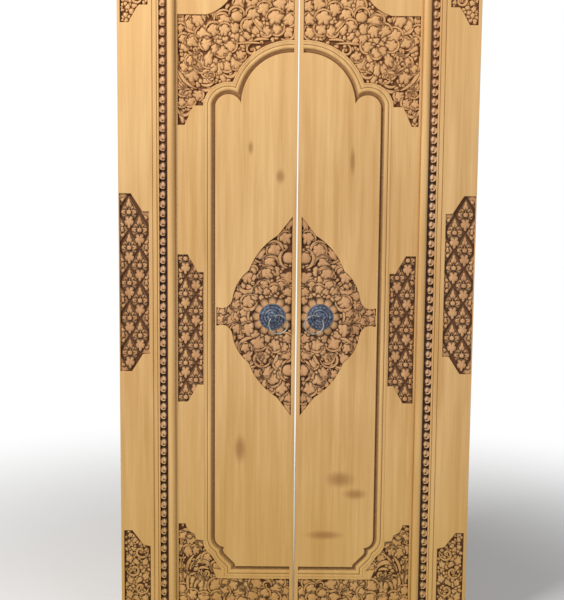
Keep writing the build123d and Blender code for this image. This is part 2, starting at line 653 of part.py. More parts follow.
with BuildPart() as leaf_carved:
    add(leaf_blank.part)
    extrude(panel_band(0, MOULDING_WIDTH), amount=-ROLL_DROP, mode=Mode.SUBTRACT)
    extrude(panel_band(ROLL_WIDTH, MOULDING_WIDTH), amount=-MOULDING_DEPTH, mode=Mode.SUBTRACT)
    for draw in (draw_diamond, draw_spandrel, draw_corner_and_rail):
        extrude(outline_sketch(LEAF_FRONT, draw), amount=-LEAF_FIELD_DEPTH, mode=Mode.SUBTRACT)
    leaf_lattice = outline_sketch(LEAF_FRONT, lambda: draw_stepped_band(LEAF_LOZENGES))
    extrude(leaf_lattice, amount=-LATTICE_DROP, mode=Mode.SUBTRACT)
    leaf_pockets = lozenge_pockets(LEAF_LOZENGES, LEAF_LOZENGE_ROWS, LEAF_FRONT)
    extrude(leaf_pockets, amount=-LEAF_FIELD_DEPTH, mode=Mode.SUBTRACT)
    add(lozenge_flowers(LEAF_LOZENGES, LEAF_LOZENGE_ROWS, (LEAF_FRONT, LEAF_FIELD_DEPTH)))
    add(leaf_carving())
    with Locations((HANDLE_U, PIVOT_Y, HANDLE_Z)):
        Box(SHANK, 2 * LEAF_THICK, SHANK, mode=Mode.SUBTRACT)


def back_holes(places, side, depth):
    """Square peg holes let into the back of a leaf."""
    for x, z in places:
        with Locations((x, LEAF_BACK - depth / 2, z)):
            Box(side, depth, side, mode=Mode.SUBTRACT)


def keeper_peg_places(x):
    """The pegs of a keeper or of the catch, one above and one below the bolt."""
    reach = BOLT_HEIGHT / 2 + BOLT_CLEARANCE + KEEPER_WALL / 2
    return [(x, BOLT_Z + reach), (x, BOLT_Z - reach)]


KEEPER_PEG_PLACES = keeper_peg_places(OUTER_KEEPER_X) + keeper_peg_places(INNER_KEEPER_X)
CATCH_PEG_PLACES = keeper_peg_places(CATCH_X)

with BuildPart() as right_leaf:
    add(leaf_carved.part)
    back_holes(CATCH_PEG_PLACES, KEEPER_PEG_SIDE, KEEPER_PEG_GRIP)
right_leaf.part.label = "right_leaf"

with BuildPart() as left_leaf:
    mirror(leaf_carved.part, about=Plane.YZ)
    back_holes(KEEPER_PEG_PLACES, KEEPER_PEG_SIDE, KEEPER_PEG_GRIP)
left_leaf.part.label = "left_leaf"

# Handle: the rosette sits on the boss, and the eye's shank is riveted over a washer at the back
ROSETTE_BACK = LEAF_FRONT + CARVING_DROP
ROSETTE_FRONT = ROSETTE_BACK - ROSETTE_RISE
COLLAR_FRONT = ROSETTE_FRONT - COLLAR_THICK
KNOB_FRONT = COLLAR_FRONT - KNOB_LENGTH
RING_Y = (COLLAR_FRONT + KNOB_FRONT) / 2
HANDLE = (HANDLE_U, HANDLE_Z)


def tiers(levels, sides, start=0):
    """A many-sided form round the handle's axis, through levels given as (depth, radius)."""
    step = 360 / sides
    return faceted([
        (depth, [on_circle(HANDLE, radius, start + k * step) for k in range(sides)]) for depth, radius in levels
    ])


with BuildPart() as right_rosette:
    add(tiers(
        [(ROSETTE_BACK, ROSETTE_RADIUS), (ROSETTE_BACK - ROSETTE_THICK, 0.94 * ROSETTE_RADIUS),
         (ROSETTE_FRONT, 0.4 * ROSETTE_RADIUS)],
        ROSETTE_SIDES,
    ))
    with Locations((HANDLE_U, ROSETTE_BACK, HANDLE_Z)):
        Box(SHANK, 3 * ROSETTE_RISE, SHANK, mode=Mode.SUBTRACT)
right_rosette.part.label = "right_rosette"

# The ring hangs aside, towards the meeting edges, so the hole that it turns in is tilted by the same angle
RING_AXIS = (cos(radians(RING_LEAN)), 0, -sin(radians(RING_LEAN)))
RING_WAY = (-sin(radians(RING_LEAN)), 0, -cos(radians(RING_LEAN)))
KNOB_CENTRE = Vector(HANDLE_U, RING_Y, HANDLE_Z)
WASHER_BACK = LEAF_BACK + WASHER_THICK

with BuildPart() as right_ring_eye:
    add(tiers(
        [(ROSETTE_FRONT, COLLAR_RADIUS), (COLLAR_FRONT, KNOB_RADIUS - 2), (RING_Y, KNOB_RADIUS),
         (KNOB_FRONT, KNOB_RADIUS - 3)],
        KNOB_SIDES,
    ))
    with Locations((HANDLE_U, (ROSETTE_FRONT + WASHER_BACK) / 2, HANDLE_Z)):
        Box(SHANK, WASHER_BACK - ROSETTE_FRONT, SHANK)
    add(tiers([(WASHER_BACK, RIVET_RADIUS), (WASHER_BACK + RIVET_RISE, RIVET_RADIUS / 2)], 4, start=45))
    with BuildSketch(Plane(origin=KNOB_CENTRE, z_dir=RING_AXIS)):
        RegularPolygon(RING_HOLE, RING_HOLE_SIDES, major_radius=False)
    extrude(amount=2 * KNOB_RADIUS, both=True, mode=Mode.SUBTRACT)
right_ring_eye.part.label = "right_ring_eye"

with BuildPart() as right_eye_washer:
    with Locations((HANDLE_U, LEAF_BACK + WASHER_THICK / 2, HANDLE_Z)):
        Box(WASHER_SIDE, WASHER_THICK, WASHER_SIDE)
        Box(SHANK, 2 * WASHER_THICK, SHANK, mode=Mode.SUBTRACT)
right_eye_washer.part.label = "right_eye_washer"

with BuildPart() as right_ring:
    ring_centre = KNOB_CENTRE + Vector(*RING_WAY) * RING_RADIUS
    with BuildLine(Plane(origin=ring_centre, x_dir=RING_AXIS, z_dir=(0, -1, 0))) as ring_line:
        turn = 360 / RING_SIDES
        corner_radius = RING_RADIUS / cos(radians(turn / 2))
        corners = [on_circle((0, 0), corner_radius, (k + 0.5) * turn) for k in range(RING_SIDES)]
        Polyline(*corners, close=True)
    with BuildSketch(Plane(origin=ring_line.line @ 0.0, z_dir=ring_line.line % 0.0)):
        RegularPolygon(RING_WIRE, 6)
    sweep(path=ring_line.wire(), transition=Transition.RIGHT)
right_ring.part.label = "right_ring"

with BuildPart() as left_rosette:
    mirror(right_rosette.part, about=Plane.YZ)
left_rosette.part.label = "left_rosette"
with BuildPart() as left_ring_eye:
    mirror(right_ring_eye.part, about=Plane.YZ)
left_ring_eye.part.label = "left_ring_eye"
with BuildPart() as left_eye_washer:
    mirror(right_eye_washer.part, about=Plane.YZ)
left_eye_washer.part.label = "left_eye_washer"
with BuildPart() as left_ring:
    mirror(right_ring.part, about=Plane.YZ)
left_ring.part.label = "left_ring"


# Bolt: a wooden bar that slides in two keepers on the left leaf into a catch on the right leaf
BOLT_BACK = LEAF_BACK + BOLT_CLEARANCE
BOLT_Y = BOLT_BACK + BOLT_THICK / 2

with BuildPart() as bolt_bar:
    with Locations((BOLT_START - BOLT_LENGTH / 2, BOLT_Y, BOLT_Z)):
        Box(BOLT_LENGTH, BOLT_THICK, BOLT_HEIGHT)
    chamfer(bolt_bar.faces().sort_by(Axis.X)[-1].edges(), length=3)
    grip_x = (OUTER_KEEPER_X + KEEPER_WIDTH / 2) + GRIP_WIDTH / 2 + 2
    with Locations((grip_x, BOLT_BACK + BOLT_THICK + GRIP_RISE / 2, BOLT_Z)):
        grip = Box(GRIP_WIDTH, GRIP_RISE, GRIP_HEIGHT)
    chamfer(grip.faces().sort_by(Axis.Y)[-1].edges(), length=GRIP_RISE / 4)
bolt_bar.part.label = "bolt_bar"


def keeper(x):
    """A block that bridges the bolt, with the pegs' holes through its two feet."""
    inside = BOLT_HEIGHT + 2 * BOLT_CLEARANCE
    rise = BOLT_THICK + 2 * BOLT_CLEARANCE
    with BuildPart() as block:
        with Locations((x, LEAF_BACK + (rise + KEEPER_CAP) / 2, BOLT_Z)):
            Box(KEEPER_WIDTH, rise + KEEPER_CAP, inside + 2 * KEEPER_WALL)
        outer = block.edges().filter_by(Axis.X).group_by(Axis.Y)[-1]
        chamfer(outer, length=KEEPER_CAP / 2)
        with Locations((x, LEAF_BACK + rise / 2, BOLT_Z)):
            Box(2 * KEEPER_WIDTH, rise, inside, mode=Mode.SUBTRACT)
        for px, pz in keeper_peg_places(x):
            with Locations((px, LEAF_BACK, pz)):
                Box(KEEPER_PEG_SIDE, 4 * KEEPER_CAP + 2 * rise, KEEPER_PEG_SIDE, mode=Mode.SUBTRACT)
    return block.part


def keeper_pegs_at(places):
    """Pegs that run from the face of the keeper into the leaf."""
    reach = BOLT_THICK + 2 * BOLT_CLEARANCE + KEEPER_CAP
    with BuildPart() as pegs:
        for x, z in places:
            with Locations((x, LEAF_BACK + (reach - KEEPER_PEG_GRIP) / 2, z)):
                Box(KEEPER_PEG_SIDE, reach + KEEPER_PEG_GRIP, KEEPER_PEG_SIDE)
    return pegs.part


with BuildPart() as bolt_outer_keeper:
    add(keeper(OUTER_KEEPER_X))
bolt_outer_keeper.part.label = "bolt_outer_keeper"
with BuildPart() as bolt_inner_keeper:
    add(keeper(INNER_KEEPER_X))
bolt_inner_keeper.part.label = "bolt_inner_keeper"
with BuildPart() as bolt_catch:
    add(keeper(CATCH_X))
bolt_catch.part.label = "bolt_catch"
with BuildPart() as keeper_pegs:
    add(keeper_pegs_at(KEEPER_PEG_PLACES))
keeper_pegs.part.label = "keeper_pegs"
with BuildPart() as catch_pegs:
    add(keeper_pegs_at(CATCH_PEG_PLACES))
catch_pegs.part.label = "catch_pegs"

os.makedirs("parts", exist_ok=True)
export_step(left_jamb.part, "parts/left_jamb.step")
export_step(right_jamb.part, "parts/right_jamb.step")
export_step(head.part, "parts/head.step")
export_step(sill.part, "parts/sill.step")
export_step(frame_pegs.part, "parts/frame_pegs.step")
export_step(left_bead_strip.part, "parts/left_bead_strip.step")
export_step(right_bead_strip.part, "parts/right_bead_strip.step")
export_step(left_leaf.part, "parts/left_leaf.step")
export_step(right_leaf.part, "parts/right_leaf.step")
export_step(left_rosette.part, "parts/left_rosette.step")
export_step(right_rosette.part, "parts/right_rosette.step")
export_step(left_ring_eye.part, "parts/left_ring_eye.step")
export_step(right_ring_eye.part, "parts/right_ring_eye.step")
export_step(left_eye_washer.part, "parts/left_eye_washer.step")
export_step(right_eye_washer.part, "parts/right_eye_washer.step")
export_step(left_ring.part, "parts/left_ring.step")
export_step(right_ring.part, "parts/right_ring.step")
export_step(bolt_bar.part, "parts/bolt_bar.step")
export_step(bolt_outer_keeper.part, "parts/bolt_outer_keeper.step")
export_step(bolt_inner_keeper.part, "parts/bolt_inner_keeper.step")
export_step(bolt_catch.part, "parts/bolt_catch.step")
export_step(keeper_pegs.part, "parts/keeper_pegs.step")
export_step(catch_pegs.part, "parts/catch_pegs.step")
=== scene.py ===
import logging
import math
import random
from dataclasses import dataclass, field
from enum import Enum
from typing import Iterable, Sequence, Union

import bmesh
import bpy
from bmesh.types import BMEdge, BMesh, BMVert
from bpy.types import Material, Object
from mathutils import Matrix, Vector


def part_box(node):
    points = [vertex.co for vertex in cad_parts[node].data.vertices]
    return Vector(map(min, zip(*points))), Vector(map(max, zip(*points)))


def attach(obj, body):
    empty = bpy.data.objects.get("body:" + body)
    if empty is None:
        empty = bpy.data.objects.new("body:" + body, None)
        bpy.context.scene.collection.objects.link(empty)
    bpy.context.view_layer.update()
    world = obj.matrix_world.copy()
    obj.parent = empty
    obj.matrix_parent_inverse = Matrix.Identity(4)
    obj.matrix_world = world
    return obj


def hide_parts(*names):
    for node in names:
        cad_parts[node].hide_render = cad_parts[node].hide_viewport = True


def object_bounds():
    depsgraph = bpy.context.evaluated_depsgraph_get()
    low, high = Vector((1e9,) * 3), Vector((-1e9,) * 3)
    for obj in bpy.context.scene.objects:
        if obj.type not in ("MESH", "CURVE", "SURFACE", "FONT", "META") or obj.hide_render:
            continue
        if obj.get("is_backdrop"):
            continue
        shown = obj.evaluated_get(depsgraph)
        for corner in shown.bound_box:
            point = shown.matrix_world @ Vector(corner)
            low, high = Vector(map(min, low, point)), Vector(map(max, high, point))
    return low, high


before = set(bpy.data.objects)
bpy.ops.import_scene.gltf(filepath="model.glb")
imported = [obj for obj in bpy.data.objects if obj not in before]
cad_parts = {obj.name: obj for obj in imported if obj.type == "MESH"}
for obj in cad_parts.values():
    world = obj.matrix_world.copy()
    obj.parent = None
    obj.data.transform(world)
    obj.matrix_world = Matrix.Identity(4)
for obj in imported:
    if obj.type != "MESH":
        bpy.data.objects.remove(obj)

log = logging.getLogger("temple_door")

Point = tuple[float, float]
Arc = tuple[Point, Point, Point, int]
Colour = tuple[float, float, float]
Disc = tuple[float, float, float]
Place = tuple[float, float, float]
Edges = list[BMEdge]

SAME_PLACE = 1e-6  # Points nearer than this are one
IN_LINE = 1e-8  # Three points whose turn is less than this are in line
TINY = 1e-12  # Keeps a division by a squared length from failing
UNDERSIDE = -0.0004  # Lift of a form's underside, which is sunk in the ground


class Side(Enum):
    """The half of the door that a piece stands in, seen from the front."""

    LEFT = -1
    RIGHT = 1

    @property
    def label(self) -> str:
        """The word that names of pieces on this side start with."""
        return self.name.lower()


class Slot(Enum):
    """Material slots of the record."""

    TEAK = "teak"
    LEAF_TEAK = "leaf_teak"
    BEAD_TEAK = "bead_teak"
    PEG_WOOD = "peg_wood"
    DARK_IRON = "dark_iron"
    RING_STEEL = "ring_steel"


# Drawing of outlines

def clamp(value: float, low: float = 0.0, high: float = 1.0) -> float:
    """Keeps a value between two limits."""
    return min(max(value, low), high)


def on_circle(centre: Point, radius: float, degrees: float) -> Point:
    """Returns the point of a circle at an angle from the positive u direction."""
    angle = math.radians(degrees)
    return centre[0] + radius * math.cos(angle), centre[1] + radius * math.sin(angle)


def circles_meet(first: Point, radius: float, second: Point, reach: float) -> Point:
    """Finds where two circles cross, on the side away from the door's middle.

    Args:
        first: Centre of the first circle.
        radius: Radius of the first circle.
        second: Centre of the second circle.
        reach: Radius of the second circle.

    Returns:
        The crossing with the larger u.
    """
    across, rise = second[0] - first[0], second[1] - first[1]
    apart = math.hypot(across, rise)
    along = (radius**2 - reach**2 + apart**2) / (2 * apart)
    off = math.sqrt(max(radius**2 - along**2, 0.0))
    foot = first[0] + along * across / apart, first[1] + along * rise / apart
    return max((foot[0] + way * off * rise / apart, foot[1] - way * off * across / apart) for way in (1, -1))


def arc_through(start: Point, via: Point, end: Point, steps: int) -> list[Point]:
    """Draws a circular arc through three points.

    Args:
        start: First point.
        via: A point between the ends.
        end: Last point.
        steps: Number of spans.

    Returns:
        The points of the arc, both ends included, or of the straight line where the three are in line.
    """
    (ax, ay), (bx, by), (cx, cy) = start, via, end
    turn = 2 * (ax * (by - cy) + bx * (cy - ay) + cx * (ay - by))
    if abs(turn) < IN_LINE:
        return [(ax + (cx - ax) * k / steps, ay + (cy - ay) * k / steps) for k in range(steps + 1)]
    a2, b2, c2 = ax * ax + ay * ay, bx * bx + by * by, cx * cx + cy * cy
    x = (a2 * (by - cy) + b2 * (cy - ay) + c2 * (ay - by)) / turn
    y = (a2 * (cx - bx) + b2 * (ax - cx) + c2 * (bx - ax)) / turn
    radius = math.hypot(ax - x, ay - y)
    first, middle, last = (math.atan2(q - y, p - x) for p, q in (start, via, end))
    sweep = (last - first) % math.tau
    if (middle - first) % math.tau > sweep:
        sweep -= math.tau
    angles = [first + sweep * k / steps for k in range(steps + 1)]
    return [(x + radius * math.cos(a), y + radius * math.sin(a)) for a in angles]


def chain(*runs: Sequence[Point]) -> list[Point]:
    """Joins runs of points into one line and drops a point that repeats the one before it.

    Args:
        *runs: The runs, in order.

    Returns:
        The points of the line.
    """
    line: list[Point] = []
    for run in runs:
        for point in run:
            if not line or math.dist(line[-1], point) > SAME_PLACE:
                line.append(point)
    return line


def sides(outline: Sequence[Point]) -> Iterable[tuple[Point, Point]]:
    """Returns both ends of each side of a closed outline."""
    return zip(outline, [*outline[1:], outline[0]])


def offset_line(outline: Sequence[Point], distance: float) -> list[Point]:
    """Moves a closed outline sideways with mitred corners.

    Args:
        outline: Corners of the outline.
        distance: Distance to the left of the outline's direction.

    Returns:
        As many corners as the outline has.
    """
    longest_mitre = 2.0
    moved = []
    for k, (u, z) in enumerate(outline):
        before, after = outline[k - 1], outline[(k + 1) % len(outline)]
        first = Vector((u - before[0], z - before[1])).normalized()
        second = Vector((after[0] - u, after[1] - z)).normalized()
        normal = Vector((-first.y - second.y, first.x + second.x)).normalized()
        share = max(normal.dot(Vector((-first.y, first.x))), 1 / longest_mitre)
        moved.append((u + normal.x * distance / share, z + normal.y * distance / share))
    return moved


def inside(point: Point, outline: Sequence[Point]) -> bool:
    """Tells whether a point lies within a closed outline.

    Args:
        point: The point.
        outline: Corners of the outline.

    Returns:
        True within the outline.
    """
    u, z = point
    within = False
    for (au, az), (bu, bz) in sides(outline):
        if (az > z) != (bz > z) and u < (bu - au) * (z - az) / (bz - az) + au:
            within = not within
    return within


def nearest_on(point: Point, outline: Sequence[Point]) -> Point:
    """Finds the place on a closed outline that lies nearest to a point.

    Args:
        point: The point.
        outline: Corners of the outline.

    Returns:
        The nearest place.
    """
    u, z = point
    found = (math.inf, point)
    for (au, az), (bu, bz) in sides(outline):
        run_u, run_z = bu - au, bz - az
        square = run_u * run_u + run_z * run_z
        share = clamp(((u - au) * run_u + (z - az) * run_z) / max(square, TINY))
        place = (au + run_u * share, az + run_z * share)
        found = min(found, (math.hypot(u - place[0], z - place[1]), place))
    return found[1]


def clearance(point: Point, outline: Sequence[Point]) -> float:
    """Returns the distance from a point to a closed outline."""
    return math.dist(point, nearest_on(point, outline))


@dataclass(frozen=True)
class DoorSizes:
    """Sizes of the door in metres, with the ones that the frame carries read from it."""

    half_width: float
    height: float
    front: float
    back: float
    opening: float
    seam: float
    leaf_edge: float
    leaf_front: float
    leaf_back: float
    leaf_bottom: float
    leaf_top: float
    pivot_depth: float = 0.035
    pivot_radius: float = 0.011
    field_border: float = 0.009
    strip_edge: float = 0.0145
    lap: float = 0.012
    panel_u: float = 0.2875
    panel_bottom: float = 0.1955
    spandrel_margin: float = 0.014
    spandrel_shelf: float = 1.731
    spandrel_foot: float = 1.670
    corner_panel_foot: float = 2.013
    rail_top: float = 0.178
    handle: Point = (0.0775, 1.058)

    @classmethod
    def from_frame(cls) -> "DoorSizes":
        """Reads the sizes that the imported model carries.

        Returns:
            The sizes of the whole door.
        """
        jamb_low, jamb_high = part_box("right_jamb")
        leaf_low, leaf_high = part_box("right_leaf")
        return cls(
            half_width=jamb_high.x,
            height=jamb_high.z,
            front=jamb_low.y,
            back=jamb_high.y,
            opening=jamb_low.x,
            seam=leaf_low.x,
            leaf_edge=leaf_high.x,
            leaf_front=leaf_low.y,
            leaf_back=leaf_high.y,
            leaf_bottom=leaf_low.z + cls.pivot_depth,
            leaf_top=leaf_high.z - cls.pivot_depth,
        )

    @property
    def pivot_u(self) -> float:
        """Distance of a leaf's pivots from the door's middle."""
        return self.leaf_edge - (self.leaf_back - self.leaf_front) / 2

    @property
    def pivot_y(self) -> float:
        """Depth of the pivots."""
        return (self.leaf_back + self.leaf_front) / 2


@dataclass(frozen=True)
class LeafDrawing:
    """The lines drawn on the front of a leaf, as (u, z) points from the seam and the floor."""

    sizes: DoorSizes
    arch_centre: Point = (0.020, 1.737)
    arch_radius: float = 0.186
    arch_via: float = 50.0
    arch_steps: int = 26
    shoulder_centre: Point = (0.221, 1.724)
    shoulder_radius: float = 0.068
    shoulder_via: float = 70.0
    shoulder_steps: int = 12
    upper_notch: Point = (0.230, 0.318)
    upper_notch_radius: float = 0.0575
    upper_notch_steps: int = 8
    lower_notch: Point = (0.217, 0.275)
    lower_notch_radius: float = 0.043
    lower_notch_steps: int = 6
    notch_via: float = -30.0
    notch_slope: float = -45.0
    notch_foot_u: float = 0.2205
    shelf_end_u: float = 0.333
    shelf_foot_u: float = 0.361
    sweep_start_u: float = 0.292
    sweep_via: Point = (0.226, 0.041)
    sweep_end: Point = (0.196, 0.107)
    sweep_steps: int = 12
    corner_top: Arc = ((0.360, 0.366), (0.352, 0.346), (0.330, 0.330), 6)
    corner_step: Point = (0.325, 0.311)
    corner_hollow: Arc = ((0.301, 0.309), (0.295, 0.280), (0.277, 0.261), 6)
    corner_hook: tuple[Point, Point] = ((0.240, 0.207), (0.270, 0.211))
    corner_rail_u: float = 0.256
    diamond_tip: float = 0.325
    diamond_arcs: tuple[Arc, Arc, Arc] = (
        ((0.062, 0.264), (0.122, 0.210), (0.154, 0.151), 10),
        ((0.154, 0.151), (0.184, 0.119), (0.207, 0.058), 8),
        ((0.207, 0.058), (0.218, 0.037), (0.238, 0.027), 5),
    )
    diamond_side: Point = (0.2585, 0.030)

    @property
    def border(self) -> float:
        """Outer edge of the carved fields."""
        return self.sizes.opening - self.sizes.field_border

    def arch(self, grow: float) -> list[Point]:
        """Draws the cusped arch from the meeting strip to its corner.

        Args:
            grow: How far the arch is moved outwards.

        Returns:
            The points of the arch.
        """
        radius, shoulder = self.arch_radius + grow, self.shoulder_radius + grow
        crown = on_circle(self.arch_centre, radius, 90)
        cusp = circles_meet(self.arch_centre, radius, self.shoulder_centre, shoulder)
        reach = self.sizes.panel_u + grow - self.shoulder_centre[0]
        rise = math.sqrt(max(shoulder**2 - reach**2, 0.0))
        corner = (self.sizes.panel_u + grow, self.shoulder_centre[1] + rise)
        over = on_circle(self.shoulder_centre, shoulder, self.shoulder_via)
        return chain(
            [(self.sizes.strip_edge, crown[1])],
            arc_through(crown, on_circle(self.arch_centre, radius, self.arch_via), cusp, self.arch_steps),
            arc_through(cusp, over, corner, self.shoulder_steps),
        )

    def panel(self, grow: float) -> list[Point]:
        """Draws the run of the panel's moulding, from the meeting strip over the arch and back to it.

        Args:
            grow: How far the run is moved outwards.

        Returns:
            The points of the run.
        """
        upper, lower = self.upper_notch_radius + grow, self.lower_notch_radius + grow
        side = on_circle(self.upper_notch, upper, 0)
        step = circles_meet(self.upper_notch, upper, self.lower_notch, lower)
        slope = on_circle(self.lower_notch, lower, self.notch_slope)
        foot_u = self.notch_foot_u + grow
        bottom = self.sizes.panel_bottom - grow
        above, below = (
            on_circle(centre, radius, self.notch_via)
            for centre, radius in ((self.upper_notch, upper), (self.lower_notch, lower))
        )
        return chain(
            self.arch(grow),
            arc_through(side, above, step, self.upper_notch_steps),
            arc_through(step, below, slope, self.lower_notch_steps),
            [(foot_u, slope[1] - (slope[0] - foot_u)), (foot_u, bottom), (self.sizes.strip_edge, bottom)],
        )

    def spandrel(self) -> list[Point]:
        """Draws the carved field above the arch.

        Returns:
            The corners of its outline.
        """
        sizes = self.sizes
        top = sizes.leaf_top - sizes.lap - sizes.field_border
        foot = sizes.corner_panel_foot
        arch = self.arch(sizes.spandrel_margin)
        via, end = ((u, foot + rise) for u, rise in (self.sweep_via, self.sweep_end))
        return chain(
            arch,
            [(arch[-1][0], sizes.spandrel_shelf), (self.shelf_end_u, sizes.spandrel_shelf)],
            [(u, sizes.spandrel_foot) for u in (self.shelf_foot_u, self.border)],
            [(self.border, foot)],
            arc_through((self.sweep_start_u, foot), via, end, self.sweep_steps),
            [(end[0], top), (arch[0][0], top)],
        )

    def corner(self) -> list[Point]:
        """Draws the carved field of the lower corner and of the rail below the panel.

        Returns:
            The corners of its outline.
        """
        sizes = self.sizes
        foot = sizes.leaf_bottom + sizes.lap + sizes.field_border
        return chain(
            arc_through(*self.corner_top),
            [self.corner_step],
            arc_through(*self.corner_hollow),
            self.corner_hook,
            [(self.corner_rail_u, sizes.rail_top), (sizes.strip_edge, sizes.rail_top)],
            [(sizes.strip_edge, foot), (self.border, foot), (self.border, self.corner_top[0][1])],
        )

    def diamond(self) -> list[Point]:
        """Draws the carved field in the middle of the panel, even above and below the handle.

        Returns:
            The corners of its outline.
        """
        arcs = [arc_through(*arc) for arc in self.diamond_arcs]
        upper = chain([(self.sizes.strip_edge, self.diamond_tip)], *arcs, [self.diamond_side])
        lower = [(u, -rise) for u, rise in reversed(upper)]
        return [(u, self.sizes.handle[1] + rise) for u, rise in upper + lower]


@dataclass(frozen=True)
class LozengeField:
    """A long carved field that is divided by a lattice into lozenges, with ends that step up."""

    middle: Point
    half: float
    reach: float
    height: float = 0.1135
    column: float = 0.0168
    groove: float = 0.0050
    step_inner: float = -0.55
    step_outer: float = 0.22
    rows: int = 5
    flower_room: float = 0.6
    cell_reach: float = 0.8

    def outline(self) -> list[Point]:
        """Draws the field, from its upper outer corner round to the outer side.

        Returns:
            The corners of the outline.
        """
        u, z = self.middle
        low = self.reach - self.height / 2
        above = [(1.0, self.reach), (self.step_outer, self.reach), (self.step_inner, low), (-1.0, low)]
        corners = above + [(across, -rise) for across, rise in reversed(above)]
        return [(u + across * self.half, z + rise) for across, rise in corners]

    def grid(self, rows: int, columns: tuple[int, ...]) -> list[Point]:
        """Places lozenges row by row.

        Args:
            rows: Number of rows above the middle one, and below it.
            columns: Columns of the middle row. The next rows have them on the other side.

        Returns:
            The middles of the lozenges.
        """
        u, z = self.middle
        places = []
        for k in range(-rows, rows + 1):
            way = 1 if k % 2 == 0 else -1
            places += [(u + way * column * self.column, z + k * self.height / 2) for column in columns]
        return places

    def flowers(self) -> list[Point]:
        """Returns the middles of the whole lozenges."""
        line, room = self.outline(), self.column * self.flower_room
        return [p for p in self.grid(self.rows - 1, (1,)) if inside(p, line) and clearance(p, line) > room]

    def cells(self) -> list[Point]:
        """Returns the middles of all lozenges that the field holds whole or in part."""
        line, room = self.outline(), self.column * self.cell_reach
        return [p for p in self.grid(self.rows, (1, -3)) if inside(p, line) or clearance(p, line) < room]


# Carved forms

@dataclass(frozen=True)
class Seat:
    """A place on a form's surface: across, up, lift above the ground and its painted lightness, low where
    shade is painted.
    """

    u: float
    z: float
    lift: float
    shade: float


@dataclass(frozen=True)
class LeafForm:
    """A lobed leaf, petal, button or ball. Lobes notch its edge and flute its surface."""

    u: float
    z: float
    length: float
    width: float
    heading: float = 90.0
    lobes: int = 5
    rise: float = 0.0080
    notch: float = 0.26
    taper: float = 0.25
    bend: float = 0.0
    hollow: float = 0.0
    flute: float = 0.34
    tilt: float = 0.22
    facet: bool = False
    # tone scales the form's painted lightness; below 1 the whole form is painted in more shade.
    tone: float = 1.0
    clear: float = 0.62
    around: int = 44
    levels: tuple[float, ...] = (0.0, 0.25, 0.48, 0.68, 0.85, 0.96, 1.0)
    drop: float = 0.58
    hollow_reach: float = 0.32
    rib: float = 0.10
    rib_width: float = 0.07
    tilt_start: float = 0.4

    @property
    def rings(self) -> int:
        """Number of rows of faces from pole to pole."""
        return len(self.levels) + 1

    @property
    def reach(self) -> float:
        """Radius of the circle that holds about as much ground as the form."""
        return math.sqrt(self.length * self.width) / 2

    def valley(self, angle: float, rho: float) -> float:
        """Returns how deep a place lies between two lobes, from 0 on a lobe to 1."""
        scallop = abs(math.sin(self.lobes * (angle - math.pi / 2) / 2 + math.pi / 2))
        return (1 - scallop**0.5) * rho**1.3

    def seat(self, ring: int, step: int) -> Seat:
        """Places one corner of the form.

        Args:
            ring: Row, from the crown to the underside.
            step: Place round the form.

        Returns:
            Where the corner goes.
        """
        angle = math.tau * step / self.around
        rows = len(self.levels)
        rho = 0.0 if ring > rows else self.levels[min(ring, rows - 1)]
        valley = self.valley(angle, rho)
        size = rho * (1 - self.notch * valley)
        if self.facet:
            size /= abs(math.cos(angle)) + abs(math.sin(angle))
        across = size * math.cos(angle) * self.width / 2
        along = size * math.sin(angle)
        across *= 1 + self.taper * along
        along *= self.length / 2
        if self.bend:
            radius = self.length / self.bend
            turn = along / radius
            across, along = radius - (radius - across) * math.cos(turn), (radius - across) * math.sin(turn)
        heading = math.radians(self.heading)
        u = self.u + along * math.cos(heading) + across * math.sin(heading)
        z = self.z + along * math.sin(heading) - across * math.cos(heading)
        if ring >= rows:
            return Seat(u, z, UNDERSIDE, 0.0)
        return Seat(u, z, *self.relief(rho, valley, across, size * math.sin(angle)))

    def relief(self, rho: float, valley: float, across: float, ahead: float) -> tuple[float, float]:
        """Works out the surface at a place on the form.

        Args:
            rho: Share of the way from the middle to the edge.
            valley: Depth between two lobes, from 0 to 1.
            across: Distance from the middle line.
            ahead: Share of the way to the tip.

        Returns:
            The height and the painted lightness.
        """
        crown = 1 - self.drop * rho**2.6
        dip = self.hollow * math.exp(-((rho / self.hollow_reach) ** 2))
        rib, tilt = 0.0, 1.0
        if self.lobes > 2:
            rib = self.rib * math.exp(-((across / (self.rib_width * self.width)) ** 2)) * (1 - rho**4)
            tilt = 1 + self.tilt * (ahead - self.tilt_start)
        lift = self.rise * tilt * (crown - self.flute * valley - dip - rib)
        # Painted light and shade: the crown is painted lighter towards the tip, and the rim, the dips between
        # lobes, the hollow and the rib are painted in shade.
        shade = tilt - 0.8 * rho**6 - 0.8 * valley - 1.1 * dip - 1.8 * rib
        return lift, max(self.tone * shade, 0.0)

    def circle(self) -> Disc:
        """Returns the middle and the radius of a circle that holds the form."""
        return self.u, self.z, 0.56 * max(self.length, self.width)

    def cover(self, u: float, z: float) -> float:
        """Finds the form's height at a place.

        Args:
            u: Place across.
            z: Height of the place.

        Returns:
            The height above the ground, or -1 outside the form.
        """
        heading = math.radians(self.heading)
        east, north = u - self.u, z - self.z
        along = east * math.cos(heading) + north * math.sin(heading)
        across = east * math.sin(heading) - north * math.cos(heading)
        if self.bend:
            radius = self.length / self.bend
            sign = math.copysign(1.0, radius)
            turn = math.atan2(along * sign, (radius - across) * sign)
            across, along = radius - sign * math.hypot(radius - across, along), turn * radius
        y = along / (self.length / 2)
        x = across / (self.width / 2) / (1 + self.taper * clamp(y, -1.0))
        rho = abs(x) + abs(y) if self.facet else math.hypot(x, y)
        if rho >= 1.0:
            return -1.0
        valley = self.valley(math.atan2(y, x), rho)
        rho /= 1 - self.notch * valley
        return self.relief(rho, valley, across, y)[0] if rho < 1.0 else -1.0


